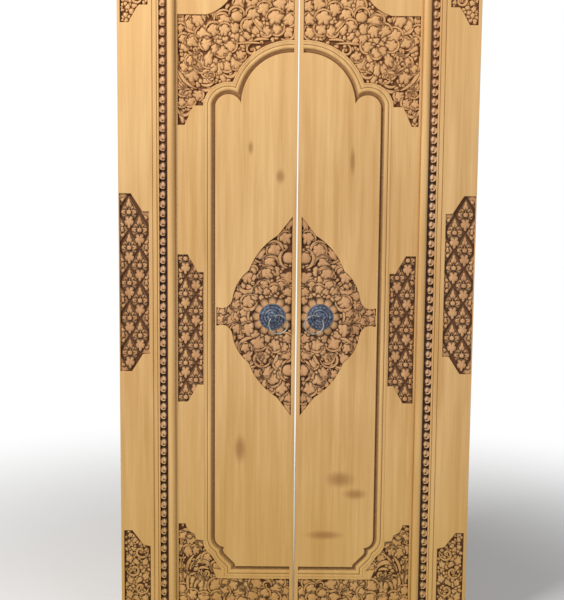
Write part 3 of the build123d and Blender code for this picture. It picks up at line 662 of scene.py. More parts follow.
@dataclass(frozen=True)
class BandForm:
    """A rounded band along a line, which tapers to both ends."""

    line: tuple[Point, ...]
    width: float
    end_width: float = 0.35
    rise: float = 0.0088
    start_rise: float = 0.7
    groove: float = 0.16
    groove_reach: float = 0.28
    drop: float = 0.55
    around: int = 12

    @property
    def rings(self) -> int:
        """Number of rows of faces from end to end."""
        return len(self.line) - 1

    @property
    def reach(self) -> float:
        """Half the band's width."""
        return self.width / 2

    def half(self, share: float) -> tuple[float, float]:
        """Returns half the width, and how full the ends' rounding leaves it, at a share of the length."""
        end = math.sqrt(max(1 - abs(2 * share - 1) ** 6, 0.0))
        return self.width / 2 * (1 - (1 - self.end_width) * abs(2 * share - 1) ** 2) * end, end

    def seat(self, ring: int, step: int) -> Seat:
        """Places one corner of the band.

        Args:
            ring: Row, from the band's start to its end.
            step: Place round the band, first over its top and then below it.

        Returns:
            Where the corner goes.
        """
        share = ring / self.rings
        before, here, after = (self.line[min(max(ring + k, 0), self.rings)] for k in (-1, 0, 1))
        run = Vector((after[0] - before[0], after[1] - before[1])).normalized()
        top = self.around // 2 + 1
        if step < top:
            across = math.cos(math.pi * step / (top - 1))
        else:
            across = -math.cos(math.pi * (step - top + 1) / (self.around - top + 1))
        half, end = self.half(share)
        u, z = here[0] - run.y * across * half, here[1] + run.x * across * half
        if step >= top or ring in (0, self.rings):
            return Seat(u, z, UNDERSIDE, 0.0)
        return Seat(u, z, *self.relief(share, across, end))

    def relief(self, share: float, across: float, end: float) -> tuple[float, float]:
        """Works out the surface at a place on the band.

        Args:
            share: Share of the band's length.
            across: Place across, from -1 at one edge to 1 at the other.
            end: How full the ends' rounding leaves the band.

        Returns:
            The height and the painted lightness.
        """
        rim = min(abs(across), 1.0)
        hollow = self.groove * math.exp(-((across / self.groove_reach) ** 2))
        ramp = self.start_rise + (1 - self.start_rise) * math.sin(math.pi * min(share * 1.3, 1.0) / 2)
        lift = self.rise * (1 - self.drop * rim**3 - hollow) * ramp * (0.45 + 0.55 * end)
        # Painted shade at the band's edges and in its middle groove.
        return lift, max(1 - 0.85 * rim**4 - 2.0 * hollow, 0.0)

    def circle(self) -> Disc:
        """Returns the middle and the radius of a circle that holds the band."""
        u, z = (sum(p[k] for p in self.line) / len(self.line) for k in (0, 1))
        return u, z, max(math.dist((u, z), p) for p in self.line) + self.width / 2

    def cover(self, u: float, z: float) -> float:
        """Finds the band's height at a place.

        Args:
            u: Place across.
            z: Height of the place.

        Returns:
            The height above the ground, or -1 outside the band.
        """
        squares = [(p[0] - u) ** 2 + (p[1] - z) ** 2 for p in self.line]
        ring = squares.index(min(squares))
        if ring in (0, self.rings):
            return -1.0
        before, here, after = (self.line[ring + k] for k in (-1, 0, 1))
        run_u, run_z = after[0] - before[0], after[1] - before[1]
        side = ((z - here[1]) * run_u - (u - here[0]) * run_z) / math.hypot(run_u, run_z)
        half, end = self.half(ring / self.rings)
        if abs(side) >= half:
            return -1.0
        return self.relief(ring / self.rings, side / half, end)[0]


Form = Union[LeafForm, BandForm]


def band(start: Point, via: Point, end: Point, width: float) -> BandForm:
    """Returns a band along the arc through three points."""
    return BandForm(tuple(arc_through(start, via, end, 16)), width)


def volute(centre: Point, outer: float, inner: float, start: float, sweep: float, width: float) -> BandForm:
    """Returns a band that winds in from an outer to an inner radius.

    Args:
        centre: Middle of the volute.
        outer: Radius where it starts.
        inner: Radius where it ends.
        start: Angle where it starts, in degrees.
        sweep: Angle that it turns through, in degrees, negative for clockwise.
        width: Width of the band.

    Returns:
        The band.
    """
    step_angle, fewest, tightening = 15, 8, 0.85
    steps = max(int(abs(sweep) / step_angle), fewest)
    points = []
    for share in (k / steps for k in range(steps + 1)):
        radius = outer + (inner - outer) * share**tightening
        points.append(on_circle(centre, radius, start + sweep * share))
    return BandForm(tuple(points), width, end_width=0.45, rise=0.0090)


def smooth(u: float, z: float, length: float, width: float, **more: object) -> LeafForm:
    """Returns a form with an even edge and an even surface."""
    return LeafForm(u, z, length, width, lobes=1, notch=0.0, taper=0.0, flute=0.0, **more)


def eye(u: float, z: float, radius: float) -> LeafForm:
    """Returns a small round boss with a drilled hollow."""
    levels = (0.0, 0.3, 0.55, 0.75, 0.92, 1.0)
    return smooth(u, z, 2 * radius, 2 * radius, hollow=0.75, rise=0.0092, around=16, levels=levels)


def ball(u: float, z: float, radius: float) -> LeafForm:
    """Returns a smooth round boss."""
    return smooth(u, z, 2 * radius, 2 * radius, rise=0.0090, around=28)


@dataclass(frozen=True)
class CarvingPlan:
    """Forms of one field, given as leaves, bands, volutes, eyes and balls.

    A leaf is (u, z, length, width, heading, lobes), a band is (u, z, u, z, u, z, width) with its start, a
    place on its way and its end, a volute is (centre, outer radius, inner radius, start, sweep, width), and
    an eye or a ball is (u, z, radius).
    """

    leaves: tuple[tuple[float, ...], ...]
    bands: tuple[tuple[float, ...], ...]
    volutes: tuple[tuple, ...]
    eyes: tuple[Disc, ...]
    balls: tuple[Disc, ...]
    swell: float = 1.25
    shift: float = 0.001
    sway: float = 8.0
    curl: float = 0.9
    leaf_rise: Point = (0.0062, 0.0084)
    leaf_taper: Point = (0.2, 0.45)
    scroll_width: float = 0.0084
    scroll_reach: float = 0.47
    scroll_rise: Point = (0.0080, 0.0092)

    def forms(self, luck: random.Random) -> list[Form]:
        """Makes the forms, each leaf with a small chance bend and rise, and a scroll round the larger leaves.

        Args:
            luck: Source of chance.

        Returns:
            The forms in the order in which they are carved.
        """
        made: list[Form] = []
        for u, z, length, width, heading, lobes in self.leaves:
            made.append(LeafForm(
                u + luck.uniform(-self.shift, self.shift), z + luck.uniform(-self.shift, self.shift),
                length * self.swell, width * self.swell,
                heading + luck.uniform(-self.sway, self.sway), int(lobes),
                rise=luck.uniform(*self.leaf_rise), notch=0.36, flute=0.50,
                bend=luck.uniform(-self.curl, self.curl), taper=luck.uniform(*self.leaf_taper),
            ))
        for leaf in [form for form in made if form.lobes == 5]:
            way = luck.choice((1, -1))
            points = tuple(
                on_circle((leaf.u, leaf.z), self.scroll_reach * leaf.length, leaf.heading + way * turn)
                for turn in range(115, -70, -15)
            )
            rise = luck.uniform(*self.scroll_rise)
            made.append(BandForm(points, self.scroll_width, end_width=0.5, rise=rise))
        made += [band(*zip(line[::2], line[1::2]), width * self.swell) for *line, width in self.bands]
        made += [volute(*entry) for entry in self.volutes]
        made += [eye(*entry) for entry in self.eyes]
        made += [ball(*entry) for entry in self.balls]
        return made


DIAMOND_PLAN = CarvingPlan(
    leaves=(
        (0.027, 1.357, 0.062, 0.024, 100, 5), (0.036, 1.312, 0.042, 0.036, 70, 5),
        (0.07, 1.272, 0.046, 0.042, 60, 5), (0.114, 1.264, 0.05, 0.022, -45, 5),
        (0.14, 1.233, 0.04, 0.016, -25, 3), (0.067, 1.208, 0.03, 0.028, 250, 3),
        (0.086, 1.236, 0.042, 0.036, 60, 5), (0.096, 1.197, 0.042, 0.038, 50, 5),
        (0.142, 1.209, 0.028, 0.026, 90, 3), (0.16, 1.186, 0.042, 0.038, 80, 5),
        (0.105, 1.16, 0.038, 0.032, 60, 5), (0.19, 1.128, 0.042, 0.024, -15, 5),
        (0.203, 1.152, 0.046, 0.016, -70, 3), (0.155, 1.106, 0.044, 0.042, 30, 5),
        (0.196, 1.098, 0.034, 0.028, -30, 5), (0.236, 1.074, 0.032, 0.026, 0, 5),
        (0.213, 1.078, 0.028, 0.024, 60, 5), (0.033, 1.184, 0.046, 0.038, 200, 5),
        (0.05, 1.158, 0.034, 0.03, 100, 5), (0.03, 1.138, 0.034, 0.028, 160, 5),
        (0.072, 1.148, 0.032, 0.028, 80, 5), (0.096, 1.139, 0.026, 0.024, 60, 3),
        (0.12, 1.143, 0.032, 0.028, 40, 5), (0.135, 1.122, 0.028, 0.024, 0, 3),
        (0.17, 1.07, 0.034, 0.03, 10, 5), (0.19, 1.058, 0.03, 0.026, -20, 5),
        (0.215, 1.042, 0.036, 0.032, 30, 5), (0.24, 1.052, 0.034, 0.03, 0, 5),
        (0.228, 1.027, 0.026, 0.018, -30, 3), (0.191, 1.016, 0.036, 0.034, 100, 5),
        (0.156, 1.015, 0.046, 0.04, 60, 5), (0.167, 1.042, 0.03, 0.028, 60, 3),
        (0.207, 0.987, 0.026, 0.022, -60, 3), (0.194, 0.962, 0.04, 0.018, -60, 3),
        (0.122, 0.974, 0.046, 0.04, -60, 5), (0.165, 0.953, 0.034, 0.028, 50, 5),
        (0.156, 0.926, 0.048, 0.026, -55, 5), (0.085, 0.951, 0.03, 0.028, -70, 3),
        (0.068, 0.967, 0.042, 0.038, -80, 5), (0.04, 0.96, 0.034, 0.028, -110, 5),
        (0.03, 0.986, 0.034, 0.028, 170, 5), (0.104, 0.927, 0.038, 0.034, -30, 5),
        (0.034, 0.932, 0.04, 0.03, 160, 5), (0.055, 0.905, 0.034, 0.026, -60, 5),
        (0.09, 0.876, 0.04, 0.034, -50, 5), (0.122, 0.872, 0.036, 0.028, -40, 5),
        (0.118, 0.85, 0.028, 0.022, -60, 3), (0.074, 0.854, 0.044, 0.036, -80, 5),
        (0.045, 0.824, 0.044, 0.036, -90, 5), (0.072, 0.826, 0.032, 0.024, -50, 3),
        (0.025, 0.792, 0.036, 0.026, -100, 5), (0.045, 0.79, 0.026, 0.02, -60, 3),
        (0.027, 0.763, 0.05, 0.02, -100, 3), (0.1, 0.838, 0.034, 0.02, -50, 3),
        (0.145, 0.88, 0.03, 0.018, -50, 3), (0.052, 0.868, 0.028, 0.022, -80, 3),
        (0.027, 1.11, 0.026, 0.022, 120, 3), (0.186, 1.15, 0.026, 0.018, 60, 3),
        (0.125, 1.102, 0.026, 0.022, 20, 3), (0.11, 1.012, 0.03, 0.028, -60, 3),
        (0.092, 0.99, 0.026, 0.022, -80, 3), (0.132, 1.0, 0.028, 0.024, -30, 3),
    ),
    bands=(
        (0.045, 1.266, 0.064, 1.3, 0.096, 1.291, 0.01), (0.056, 1.222, 0.084, 1.256, 0.112, 1.24, 0.01),
        (0.068, 1.188, 0.093, 1.221, 0.121, 1.204, 0.01), (0.126, 1.204, 0.142, 1.224, 0.158, 1.208, 0.008),
        (0.136, 1.17, 0.158, 1.137, 0.187, 1.166, 0.013), (0.187, 1.16, 0.188, 1.18, 0.177, 1.196, 0.008),
        (0.084, 1.158, 0.103, 1.181, 0.127, 1.17, 0.008), (0.128, 1.112, 0.154, 1.08, 0.18, 1.11, 0.01),
        (0.038, 1.328, 0.05, 1.343, 0.063, 1.331, 0.007), (0.03, 1.279, 0.055, 1.25, 0.026, 1.216, 0.01),
        (0.178, 1.092, 0.2, 1.078, 0.217, 1.096, 0.008), (0.221, 1.052, 0.241, 1.037, 0.257, 1.05, 0.009),
        (0.168, 1.02, 0.19, 1.037, 0.214, 1.014, 0.009), (0.136, 0.988, 0.172, 0.978, 0.184, 0.935, 0.011),
        (0.06, 0.936, 0.066, 0.915, 0.08, 0.902, 0.01), (0.128, 0.9, 0.146, 0.892, 0.16, 0.9, 0.007),
        (0.078, 0.87, 0.1, 0.858, 0.116, 0.876, 0.008), (0.022, 0.915, 0.052, 0.884, 0.028, 0.846, 0.01),
        (0.028, 0.8, 0.048, 0.796, 0.052, 0.78, 0.006), (0.04, 0.945, 0.05, 0.938, 0.062, 0.942, 0.007),
        (0.062, 0.812, 0.08, 0.808, 0.092, 0.822, 0.007), (0.146, 1.086, 0.156, 1.062, 0.15, 1.04, 0.008),
    ),
    volutes=(((0.114, 0.921), 0.036, 0.006, 175, 430, 0.01),),
    eyes=(
        (0.089, 1.29, 0.007), (0.109, 1.236, 0.007), (0.12, 1.19, 0.01), (0.141, 1.166, 0.007),
        (0.211, 1.113, 0.006), (0.058, 1.332, 0.006), (0.14, 0.952, 0.008), (0.213, 1.03, 0.006),
        (0.118, 0.925, 0.008), (0.109, 0.884, 0.008), (0.088, 0.829, 0.007), (0.186, 1.06, 0.006),
    ),
    balls=((0.026, 1.248, 0.021), (0.024, 0.881, 0.021)),
)

SPANDREL_PLAN = CarvingPlan(
    leaves=(
        (0.04, 1.962, 0.046, 0.03, 200, 5), (0.07, 1.975, 0.042, 0.032, 250, 5),
        (0.104, 1.966, 0.036, 0.032, 260, 5), (0.076, 2.003, 0.05, 0.046, 90, 5),
        (0.034, 2.0, 0.04, 0.036, 160, 5), (0.125, 1.985, 0.044, 0.018, 45, 3),
        (0.14, 1.968, 0.044, 0.022, 45, 3), (0.16, 1.98, 0.04, 0.034, 60, 5),
        (0.11, 2.03, 0.044, 0.036, 60, 5), (0.145, 2.016, 0.04, 0.034, 50, 5),
        (0.205, 1.975, 0.034, 0.03, 250, 3), (0.202, 1.945, 0.034, 0.03, 270, 3),
        (0.18, 1.94, 0.03, 0.024, 250, 3), (0.166, 1.95, 0.03, 0.02, 220, 3),
        (0.238, 1.998, 0.052, 0.04, 30, 5), (0.27, 2.02, 0.034, 0.024, 60, 5),
        (0.318, 1.996, 0.046, 0.038, 60, 5), (0.345, 1.985, 0.03, 0.044, 0, 3),
        (0.372, 2.0, 0.028, 0.022, 90, 3), (0.235, 1.965, 0.04, 0.034, 110, 5),
        (0.268, 1.965, 0.044, 0.034, 60, 5), (0.3, 1.952, 0.048, 0.036, 20, 5),
        (0.29, 1.925, 0.04, 0.034, -20, 5), (0.245, 1.902, 0.036, 0.038, 270, 5),
        (0.218, 1.92, 0.04, 0.032, 200, 5), (0.262, 1.908, 0.034, 0.03, -60, 3),
        (0.335, 1.932, 0.044, 0.036, 20, 5), (0.365, 1.935, 0.034, 0.024, 60, 5),
        (0.358, 1.912, 0.03, 0.026, 0, 3), (0.285, 1.88, 0.056, 0.028, -60, 5),
        (0.306, 1.862, 0.052, 0.024, -65, 5), (0.248, 1.852, 0.044, 0.026, 270, 3),
        (0.228, 1.858, 0.036, 0.028, 230, 5), (0.268, 1.85, 0.036, 0.026, -70, 3),
        (0.2, 1.868, 0.044, 0.036, 250, 5), (0.184, 1.89, 0.034, 0.03, 240, 5),
        (0.17, 1.872, 0.03, 0.02, 230, 3), (0.226, 1.888, 0.03, 0.028, 250, 3),
        (0.34, 1.87, 0.034, 0.03, 0, 5), (0.357, 1.856, 0.04, 0.034, -70, 5),
        (0.32, 1.88, 0.03, 0.026, 60, 5), (0.335, 1.826, 0.046, 0.046, 80, 5),
        (0.29, 1.838, 0.034, 0.026, -60, 5), (0.315, 1.842, 0.026, 0.02, -60, 3),
        (0.32, 1.766, 0.032, 0.028, 200, 5), (0.345, 1.746, 0.034, 0.03, 230, 5),
        (0.352, 1.766, 0.03, 0.028, 60, 5), (0.366, 1.78, 0.034, 0.028, 250, 5),
        (0.374, 1.804, 0.034, 0.018, 260, 5), (0.37, 1.742, 0.03, 0.024, 260, 5),
        (0.372, 1.7, 0.04, 0.016, 260, 3), (0.302, 1.746, 0.02, 0.014, 200, 3),
        (0.24, 1.822, 0.03, 0.02, 250, 3), (0.374, 1.968, 0.034, 0.018, 90, 5),
        (0.06, 2.046, 0.044, 0.036, 70, 5), (0.03, 2.04, 0.036, 0.03, 150, 5),
        (0.19, 2.046, 0.036, 0.03, 60, 5), (0.15, 2.052, 0.044, 0.036, 100, 5),
        (0.09, 2.076, 0.048, 0.04, 80, 5), (0.04, 2.082, 0.044, 0.036, 120, 5),
        (0.135, 2.092, 0.044, 0.038, 60, 5), (0.172, 2.084, 0.036, 0.028, 40, 5),
        (0.066, 2.116, 0.044, 0.036, 90, 5), (0.03, 2.128, 0.04, 0.03, 130, 5),
        (0.106, 2.126, 0.04, 0.036, 60, 5), (0.17, 2.124, 0.04, 0.036, 70, 5),
        (0.144, 2.148, 0.044, 0.034, 50, 5), (0.052, 2.16, 0.046, 0.036, 100, 5),
        (0.092, 2.168, 0.04, 0.034, 80, 5), (0.178, 2.166, 0.036, 0.028, 60, 5),
        (0.128, 2.186, 0.044, 0.032, 40, 5), (0.03, 2.192, 0.036, 0.026, 110, 5),
        (0.072, 2.196, 0.04, 0.026, 60, 5), (0.168, 2.196, 0.036, 0.026, 20, 5),
    ),
    bands=(
        (0.092, 1.938, 0.115, 1.94, 0.145, 1.934, 0.008), (0.112, 1.926, 0.14, 1.928, 0.21, 1.922, 0.007),
        (0.1, 1.95, 0.124, 1.972, 0.15, 2.006, 0.007), (0.176, 2.004, 0.19, 2.038, 0.22, 2.008, 0.008),
        (0.296, 1.99, 0.33, 2.02, 0.358, 1.986, 0.012), (0.358, 1.99, 0.35, 1.966, 0.326, 1.96, 0.01),
        (0.222, 2.006, 0.245, 2.018, 0.266, 2.004, 0.008), (0.2, 1.852, 0.212, 1.822, 0.238, 1.834, 0.009),
        (0.38, 1.896, 0.372, 1.824, 0.318, 1.782, 0.011), (0.318, 1.784, 0.284, 1.78, 0.256, 1.802, 0.01),
        (0.31, 1.8, 0.286, 1.794, 0.266, 1.812, 0.008), (0.384, 1.86, 0.376, 1.812, 0.348, 1.786, 0.006),
        (0.342, 1.724, 0.364, 1.7, 0.382, 1.724, 0.009), (0.31, 1.906, 0.326, 1.89, 0.35, 1.902, 0.009),
        (0.312, 1.936, 0.332, 1.95, 0.352, 1.934, 0.008), (0.352, 1.8, 0.372, 1.786, 0.382, 1.8, 0.007),
        (0.118, 2.044, 0.14, 2.07, 0.168, 2.06, 0.009), (0.06, 2.06, 0.086, 2.098, 0.118, 2.082, 0.01),
        (0.11, 2.108, 0.136, 2.116, 0.156, 2.096, 0.009), (0.04, 2.14, 0.066, 2.142, 0.084, 2.122, 0.009),
        (0.116, 2.166, 0.142, 2.172, 0.164, 2.146, 0.009), (0.06, 2.178, 0.084, 2.188, 0.108, 2.17, 0.008),
    ),
    volutes=(
        ((0.148, 1.906), 0.022, 0.005, 120, -400, 0.008),
        ((0.274, 1.824), 0.026, 0.005, 200, 400, 0.008),
        ((0.19, 2.1), 0.02, 0.005, 200, 380, 0.007),
    ),
    eyes=(
        (0.148, 1.907, 0.006), (0.256, 2.004, 0.007), (0.326, 1.904, 0.009), (0.275, 1.825, 0.007),
        (0.374, 2.008, 0.007), (0.366, 1.726, 0.006), (0.332, 1.798, 0.006), (0.154, 2.062, 0.007),
        (0.104, 2.084, 0.007), (0.146, 2.1, 0.006),
    ),
    balls=((0.196, 2.008, 0.019), (0.342, 1.846, 0.012)),
)

CORNER_PLAN = CarvingPlan(
    leaves=(
        (0.345, 0.306, 0.04, 0.034, 100, 5), (0.368, 0.318, 0.036, 0.03, 60, 5),
        (0.314, 0.29, 0.03, 0.026, 100, 5), (0.326, 0.272, 0.032, 0.03, 80, 5),
        (0.35, 0.268, 0.04, 0.034, 70, 5), (0.374, 0.276, 0.03, 0.022, 80, 3),
        (0.288, 0.248, 0.034, 0.026, 50, 5), (0.256, 0.216, 0.036, 0.022, 40, 5),
        (0.374, 0.222, 0.036, 0.022, 260, 5), (0.3, 0.148, 0.06, 0.038, 95, 5),
        (0.332, 0.16, 0.056, 0.03, 100, 5), (0.372, 0.18, 0.044, 0.024, 90, 5),
        (0.372, 0.134, 0.044, 0.026, 80, 5), (0.338, 0.116, 0.04, 0.032, 60, 5),
        (0.3, 0.104, 0.044, 0.032, 100, 5), (0.122, 0.158, 0.05, 0.036, 20, 5),
        (0.06, 0.14, 0.04, 0.034, 160, 5), (0.046, 0.164, 0.034, 0.022, 180, 5),
        (0.152, 0.15, 0.04, 0.032, -30, 5), (0.176, 0.162, 0.03, 0.026, 60, 3),
        (0.202, 0.152, 0.04, 0.034, 80, 5), (0.224, 0.162, 0.036, 0.026, 50, 5),
        (0.256, 0.15, 0.052, 0.044, 40, 5), (0.235, 0.13, 0.04, 0.034, 200, 5),
        (0.18, 0.128, 0.044, 0.034, 160, 5), (0.14, 0.118, 0.044, 0.032, 200, 5),
        (0.1, 0.124, 0.04, 0.032, 120, 5), (0.066, 0.11, 0.04, 0.032, 150, 5),
        (0.03, 0.13, 0.034, 0.03, 160, 5), (0.032, 0.102, 0.034, 0.026, 180, 5),
        (0.1, 0.1, 0.034, 0.024, 30, 5), (0.205, 0.104, 0.044, 0.03, 20, 5),
        (0.255, 0.108, 0.044, 0.034, 60, 5), (0.37, 0.1, 0.034, 0.024, 100, 5),
        (0.17, 0.1, 0.036, 0.024, 0, 5), (0.296, 0.176, 0.026, 0.022, 100, 3),
    ),
    bands=(
        (0.33, 0.318, 0.352, 0.343, 0.378, 0.33, 0.01), (0.302, 0.292, 0.314, 0.305, 0.328, 0.296, 0.007),
        (0.308, 0.262, 0.32, 0.244, 0.344, 0.208, 0.009), (0.33, 0.258, 0.35, 0.23, 0.356, 0.19, 0.009),
        (0.36, 0.252, 0.372, 0.244, 0.382, 0.252, 0.007), (0.272, 0.196, 0.304, 0.236, 0.346, 0.2, 0.013),
        (0.346, 0.202, 0.354, 0.16, 0.345, 0.12, 0.01), (0.282, 0.206, 0.3, 0.214, 0.318, 0.208, 0.008),
        (0.074, 0.148, 0.086, 0.174, 0.118, 0.176, 0.01), (0.1, 0.142, 0.122, 0.134, 0.146, 0.144, 0.008),
        (0.16, 0.146, 0.172, 0.136, 0.186, 0.146, 0.007), (0.236, 0.172, 0.216, 0.176, 0.206, 0.168, 0.006),
        (0.276, 0.128, 0.292, 0.12, 0.312, 0.128, 0.008), (0.366, 0.262, 0.372, 0.22, 0.362, 0.15, 0.007),
    ),
    volutes=(
        ((0.292, 0.194), 0.02, 0.005, 60, -400, 0.008),
        ((0.318, 0.186), 0.02, 0.005, 120, 400, 0.008),
        ((0.092, 0.154), 0.017, 0.004, 200, -360, 0.007),
    ),
    eyes=(
        (0.372, 0.306, 0.008), (0.372, 0.238, 0.008), (0.293, 0.194, 0.006), (0.318, 0.187, 0.007),
        (0.198, 0.168, 0.006), (0.092, 0.154, 0.005), (0.322, 0.294, 0.006),
    ),
    balls=((0.346, 0.32, 0.013),),
)


@dataclass
class Relief:
    """Carved forms of one board, collected into one mesh. Each is a closed body seated in the ground."""

    side: Side
    ground: float
    limit: float
    crease_width: float = 0.0030
    crease_depth: float = 0.0014
    crease_light: float = 0.12
    overrun: float = 0.0014
    sharp: float = 42.0
    mesh: BMesh = field(default_factory=bmesh.new)
    forms: list[Form] = field(default_factory=list)
    outline: list[Point] = field(default_factory=list)
    fields: list[list[Point]] = field(default_factory=list)

    def __post_init__(self) -> None:
        """Prepares the mesh and a second one, through which each form passes."""
        self.mesh.verts.layers.float.new("shade")
        self.scratch = bpy.data.meshes.new("form")

    def add(self, form: Form) -> None:
        """Takes up one form, which is carved when the board is finished."""
        self.forms.append(form)
        self.fields.append(self.outline)

    def carve(self, form: Form, others: list[Form], outline: list[Point]) -> None:
        """Carves one form, with a groove and painted shade wherever it meets another.

        Args:
            form: The form.
            others: The forms that may reach it.
            outline: Outline of its field, past which it sinks into the board, or nothing.
        """
        single = bmesh.new()
        layer = single.verts.layers.float.new("shade")
        bmesh.ops.create_uvsphere(single, u_segments=form.around, v_segments=form.rings, radius=1.0)
        for vert in single.verts:
            ring = round(math.acos(clamp(vert.co.z, -1.0)) / math.pi * form.rings)
            step = round(math.atan2(vert.co.y, vert.co.x) / math.tau * form.around) % form.around
            seat = form.seat(ring, step)
            lift, shade = min(seat.lift, self.limit), seat.shade
            # Where another form stands near or above, the crease is painted dark as shade and also cut a
            # little deeper.
            if others and lift > 0:
                gap = lift - max(other.cover(seat.u, seat.z) for other in others)
                share = clamp(gap / self.crease_width)
                shade *= self.crease_light + (1 - self.crease_light) * share
                lift -= self.crease_depth * (1 - share)
            place = (seat.u, seat.z)
            # A place past the field's edge sinks to the ground and is painted fully dark, as shade.
            if outline and not inside(place, outline):
                edge = nearest_on(place, outline)
                if math.dist(place, edge) > self.overrun:
                    place, lift, shade = edge, min(lift, 0.0), 0.0
            vert[layer] = shade
            vert.co = (self.side.value * place[0], self.ground - lift, place[1])
        bmesh.ops.recalc_face_normals(single, faces=single.faces)
        single.to_mesh(self.scratch)
        single.free()
        self.mesh.from_mesh(self.scratch)

    def fill(self, outline: Sequence[Point], luck: random.Random, tries: int, radius: Point) -> None:
        """Carves small leaves into what is left of a field's ground.

        Args:
            outline: Outline of the field.
            luck: Source of chance.
            tries: Number of places tried.
            radius: Smallest and largest radius of a leaf.
        """
        band_share, band_step, into_edge, into_leaf = 0.62, 3, 1.02, 1.30
        taken = [(f.u, f.z, f.clear * f.reach) for f in self.forms if isinstance(f, LeafForm)]
        for f in self.forms:
            if isinstance(f, BandForm):
                taken += [(u, z, band_share * f.reach) for u, z in f.line[::band_step]]
        low = [min(p[k] for p in outline) for k in (0, 1)]
        high = [max(p[k] for p in outline) for k in (0, 1)]
        for _ in range(tries):
            place = (luck.uniform(low[0], high[0]), luck.uniform(low[1], high[1]))
            if not inside(place, outline):
                continue
            room = clearance(place, outline)
            near = min((math.hypot(place[0] - u, place[1] - z) - r for u, z, r in taken), default=1.0)
            size = min(room * into_edge, near * into_leaf, radius[1])
            if size < radius[0]:
                continue
            form = LeafForm(
                *place, size * luck.uniform(2.1, 2.6), size * luck.uniform(1.7, 2.0), luck.uniform(0, 360),
                luck.choice((3, 3, 5)), rise=luck.uniform(0.0046, 0.0062), around=24,
                levels=(0.0, 0.3, 0.6, 0.84, 1.0),
            )
            self.add(form)
            taken.append((*place, form.clear * form.reach))

    def flower(self, place: Point, size: float, leaf: Point) -> None:
        """Carves the flower of one lozenge: a button, two fans, a leaf below and a folded leaf above.

        Args:
            place: Middle of the lozenge.
            size: Radius of the button.
            leaf: Length and width of the leaf below.
        """
        u, z = place
        length, width = leaf
        self.add(LeafForm(
            u, z + 0.62 * length, 0.86 * length, 0.62 * width, 90, 3, taper=-0.45, notch=0.1, rise=0.0072,
            around=24,
        ))
        self.add(LeafForm(
            u, z - 0.66 * length, 1.08 * length, width, -90, 5, taper=-0.35, notch=0.22, rise=0.0078,
            around=40,
        ))
        for way in (1, -1):
            self.add(LeafForm(
                u + way * 1.75 * size, z + 0.1 * size, 2.1 * size, 2.3 * size, 90 - way * 82, 3, rise=0.0074,
                hollow=0.25, around=24,
            ))
            self.add(LeafForm(
                u + way * 1.05 * size, z + 1.6 * size, 1.8 * size, 1.1 * size, 90 - way * 38, 3, rise=0.0066,
                around=18, levels=(0.0, 0.35, 0.7, 1.0),
            ))
        self.add(smooth(u, z, 2 * size, 2 * size, rise=0.0086, around=20, hollow=0.18))

    def lozenges(self, pattern: LozengeField, size: float, leaf: Point, luck: random.Random) -> None:
        """Carves the lattice, its flowers and the small half leaves along the border.

        Args:
            pattern: The lozenge field.
            size: Radius of a flower's button.
            leaf: Length and width of the leaf below it.
            luck: Source of chance.
        """
        line = pattern.outline()
        self.outline = line
        side = math.hypot(2 * pattern.column, pattern.height / 2)
        share = 1 - pattern.groove * side / (2 * pattern.column * pattern.height)
        tall, wide = share * pattern.height, share * 4 * pattern.column
        levels = (0.0, 0.2, 0.4, 0.6, 0.8, 0.94, 1.0)
        for place in pattern.cells():
            # The low cell pads are painted in more shade than the flowers on them.
            self.add(smooth(*place, tall, wide, rise=0.0030, facet=True, tone=0.85, around=48, levels=levels))
        for place in pattern.flowers():
            self.flower(place, size, leaf)
        u, z = pattern.middle
        from_edge, apart, room, width, lean, sway = 0.0085, 0.017, 0.0060, 0.0145, 40, 6
        for k in range(-pattern.rows, pattern.rows + 1):
            way = -1 if k % 2 == 0 else 1
            for turn, length in ((-1, 0.020), (0, 0.026), (1, 0.020)):
                place = (u + way * (pattern.half - from_edge), z + k * pattern.height / 2 + turn * apart)
                if inside(place, line) and clearance(place, line) > room:
                    heading = 90 - way * turn * lean + luck.uniform(-sway, sway)
                    self.add(LeafForm(*place, length, width, heading, 3, rise=0.0066, around=24))

    def finish(self, name: str, material: Material) -> Object:
        """Carves the collected forms and turns them into a piece.

        Args:
            name: Name of the piece.
            material: Its finish.

        Returns:
            The piece.
        """
        circles = [form.circle() for form in self.forms]
        for form, outline, (u, z, radius) in zip(self.forms, self.fields, circles):
            others = [
                other for other, (v, w, reach) in zip(self.forms, circles)
                if other is not form and math.hypot(u - v, z - w) < radius + reach
            ]
            self.carve(form, others, outline)
        bpy.data.meshes.remove(self.scratch)
        return make_piece(name, self.mesh, material, self.sharp)


def make_piece(
    name: str, mesh: BMesh, material: Material, sharp: float = 35.0
) -> Object:
    """Turns a bmesh into an object at the origin.

    Args:
        name: Name of the piece.
        mesh: Its shape, in place.
        material: Its finish.
        sharp: Edges that turn by more than this many degrees stay sharp.

    Returns:
        The new object.
    """
    data = bpy.data.meshes.new(name)
    mesh.to_mesh(data)
    faces = len(mesh.faces)
    mesh.free()
    data.polygons.foreach_set("use_smooth", [True] * len(data.polygons))
    data.set_sharp_from_angle(angle=math.radians(sharp))
    data.materials.append(material)
    piece = bpy.data.objects.new(name, data)
    bpy.context.scene.collection.objects.link(piece)
    log.info("%s: %d faces", name, faces)
    return piece


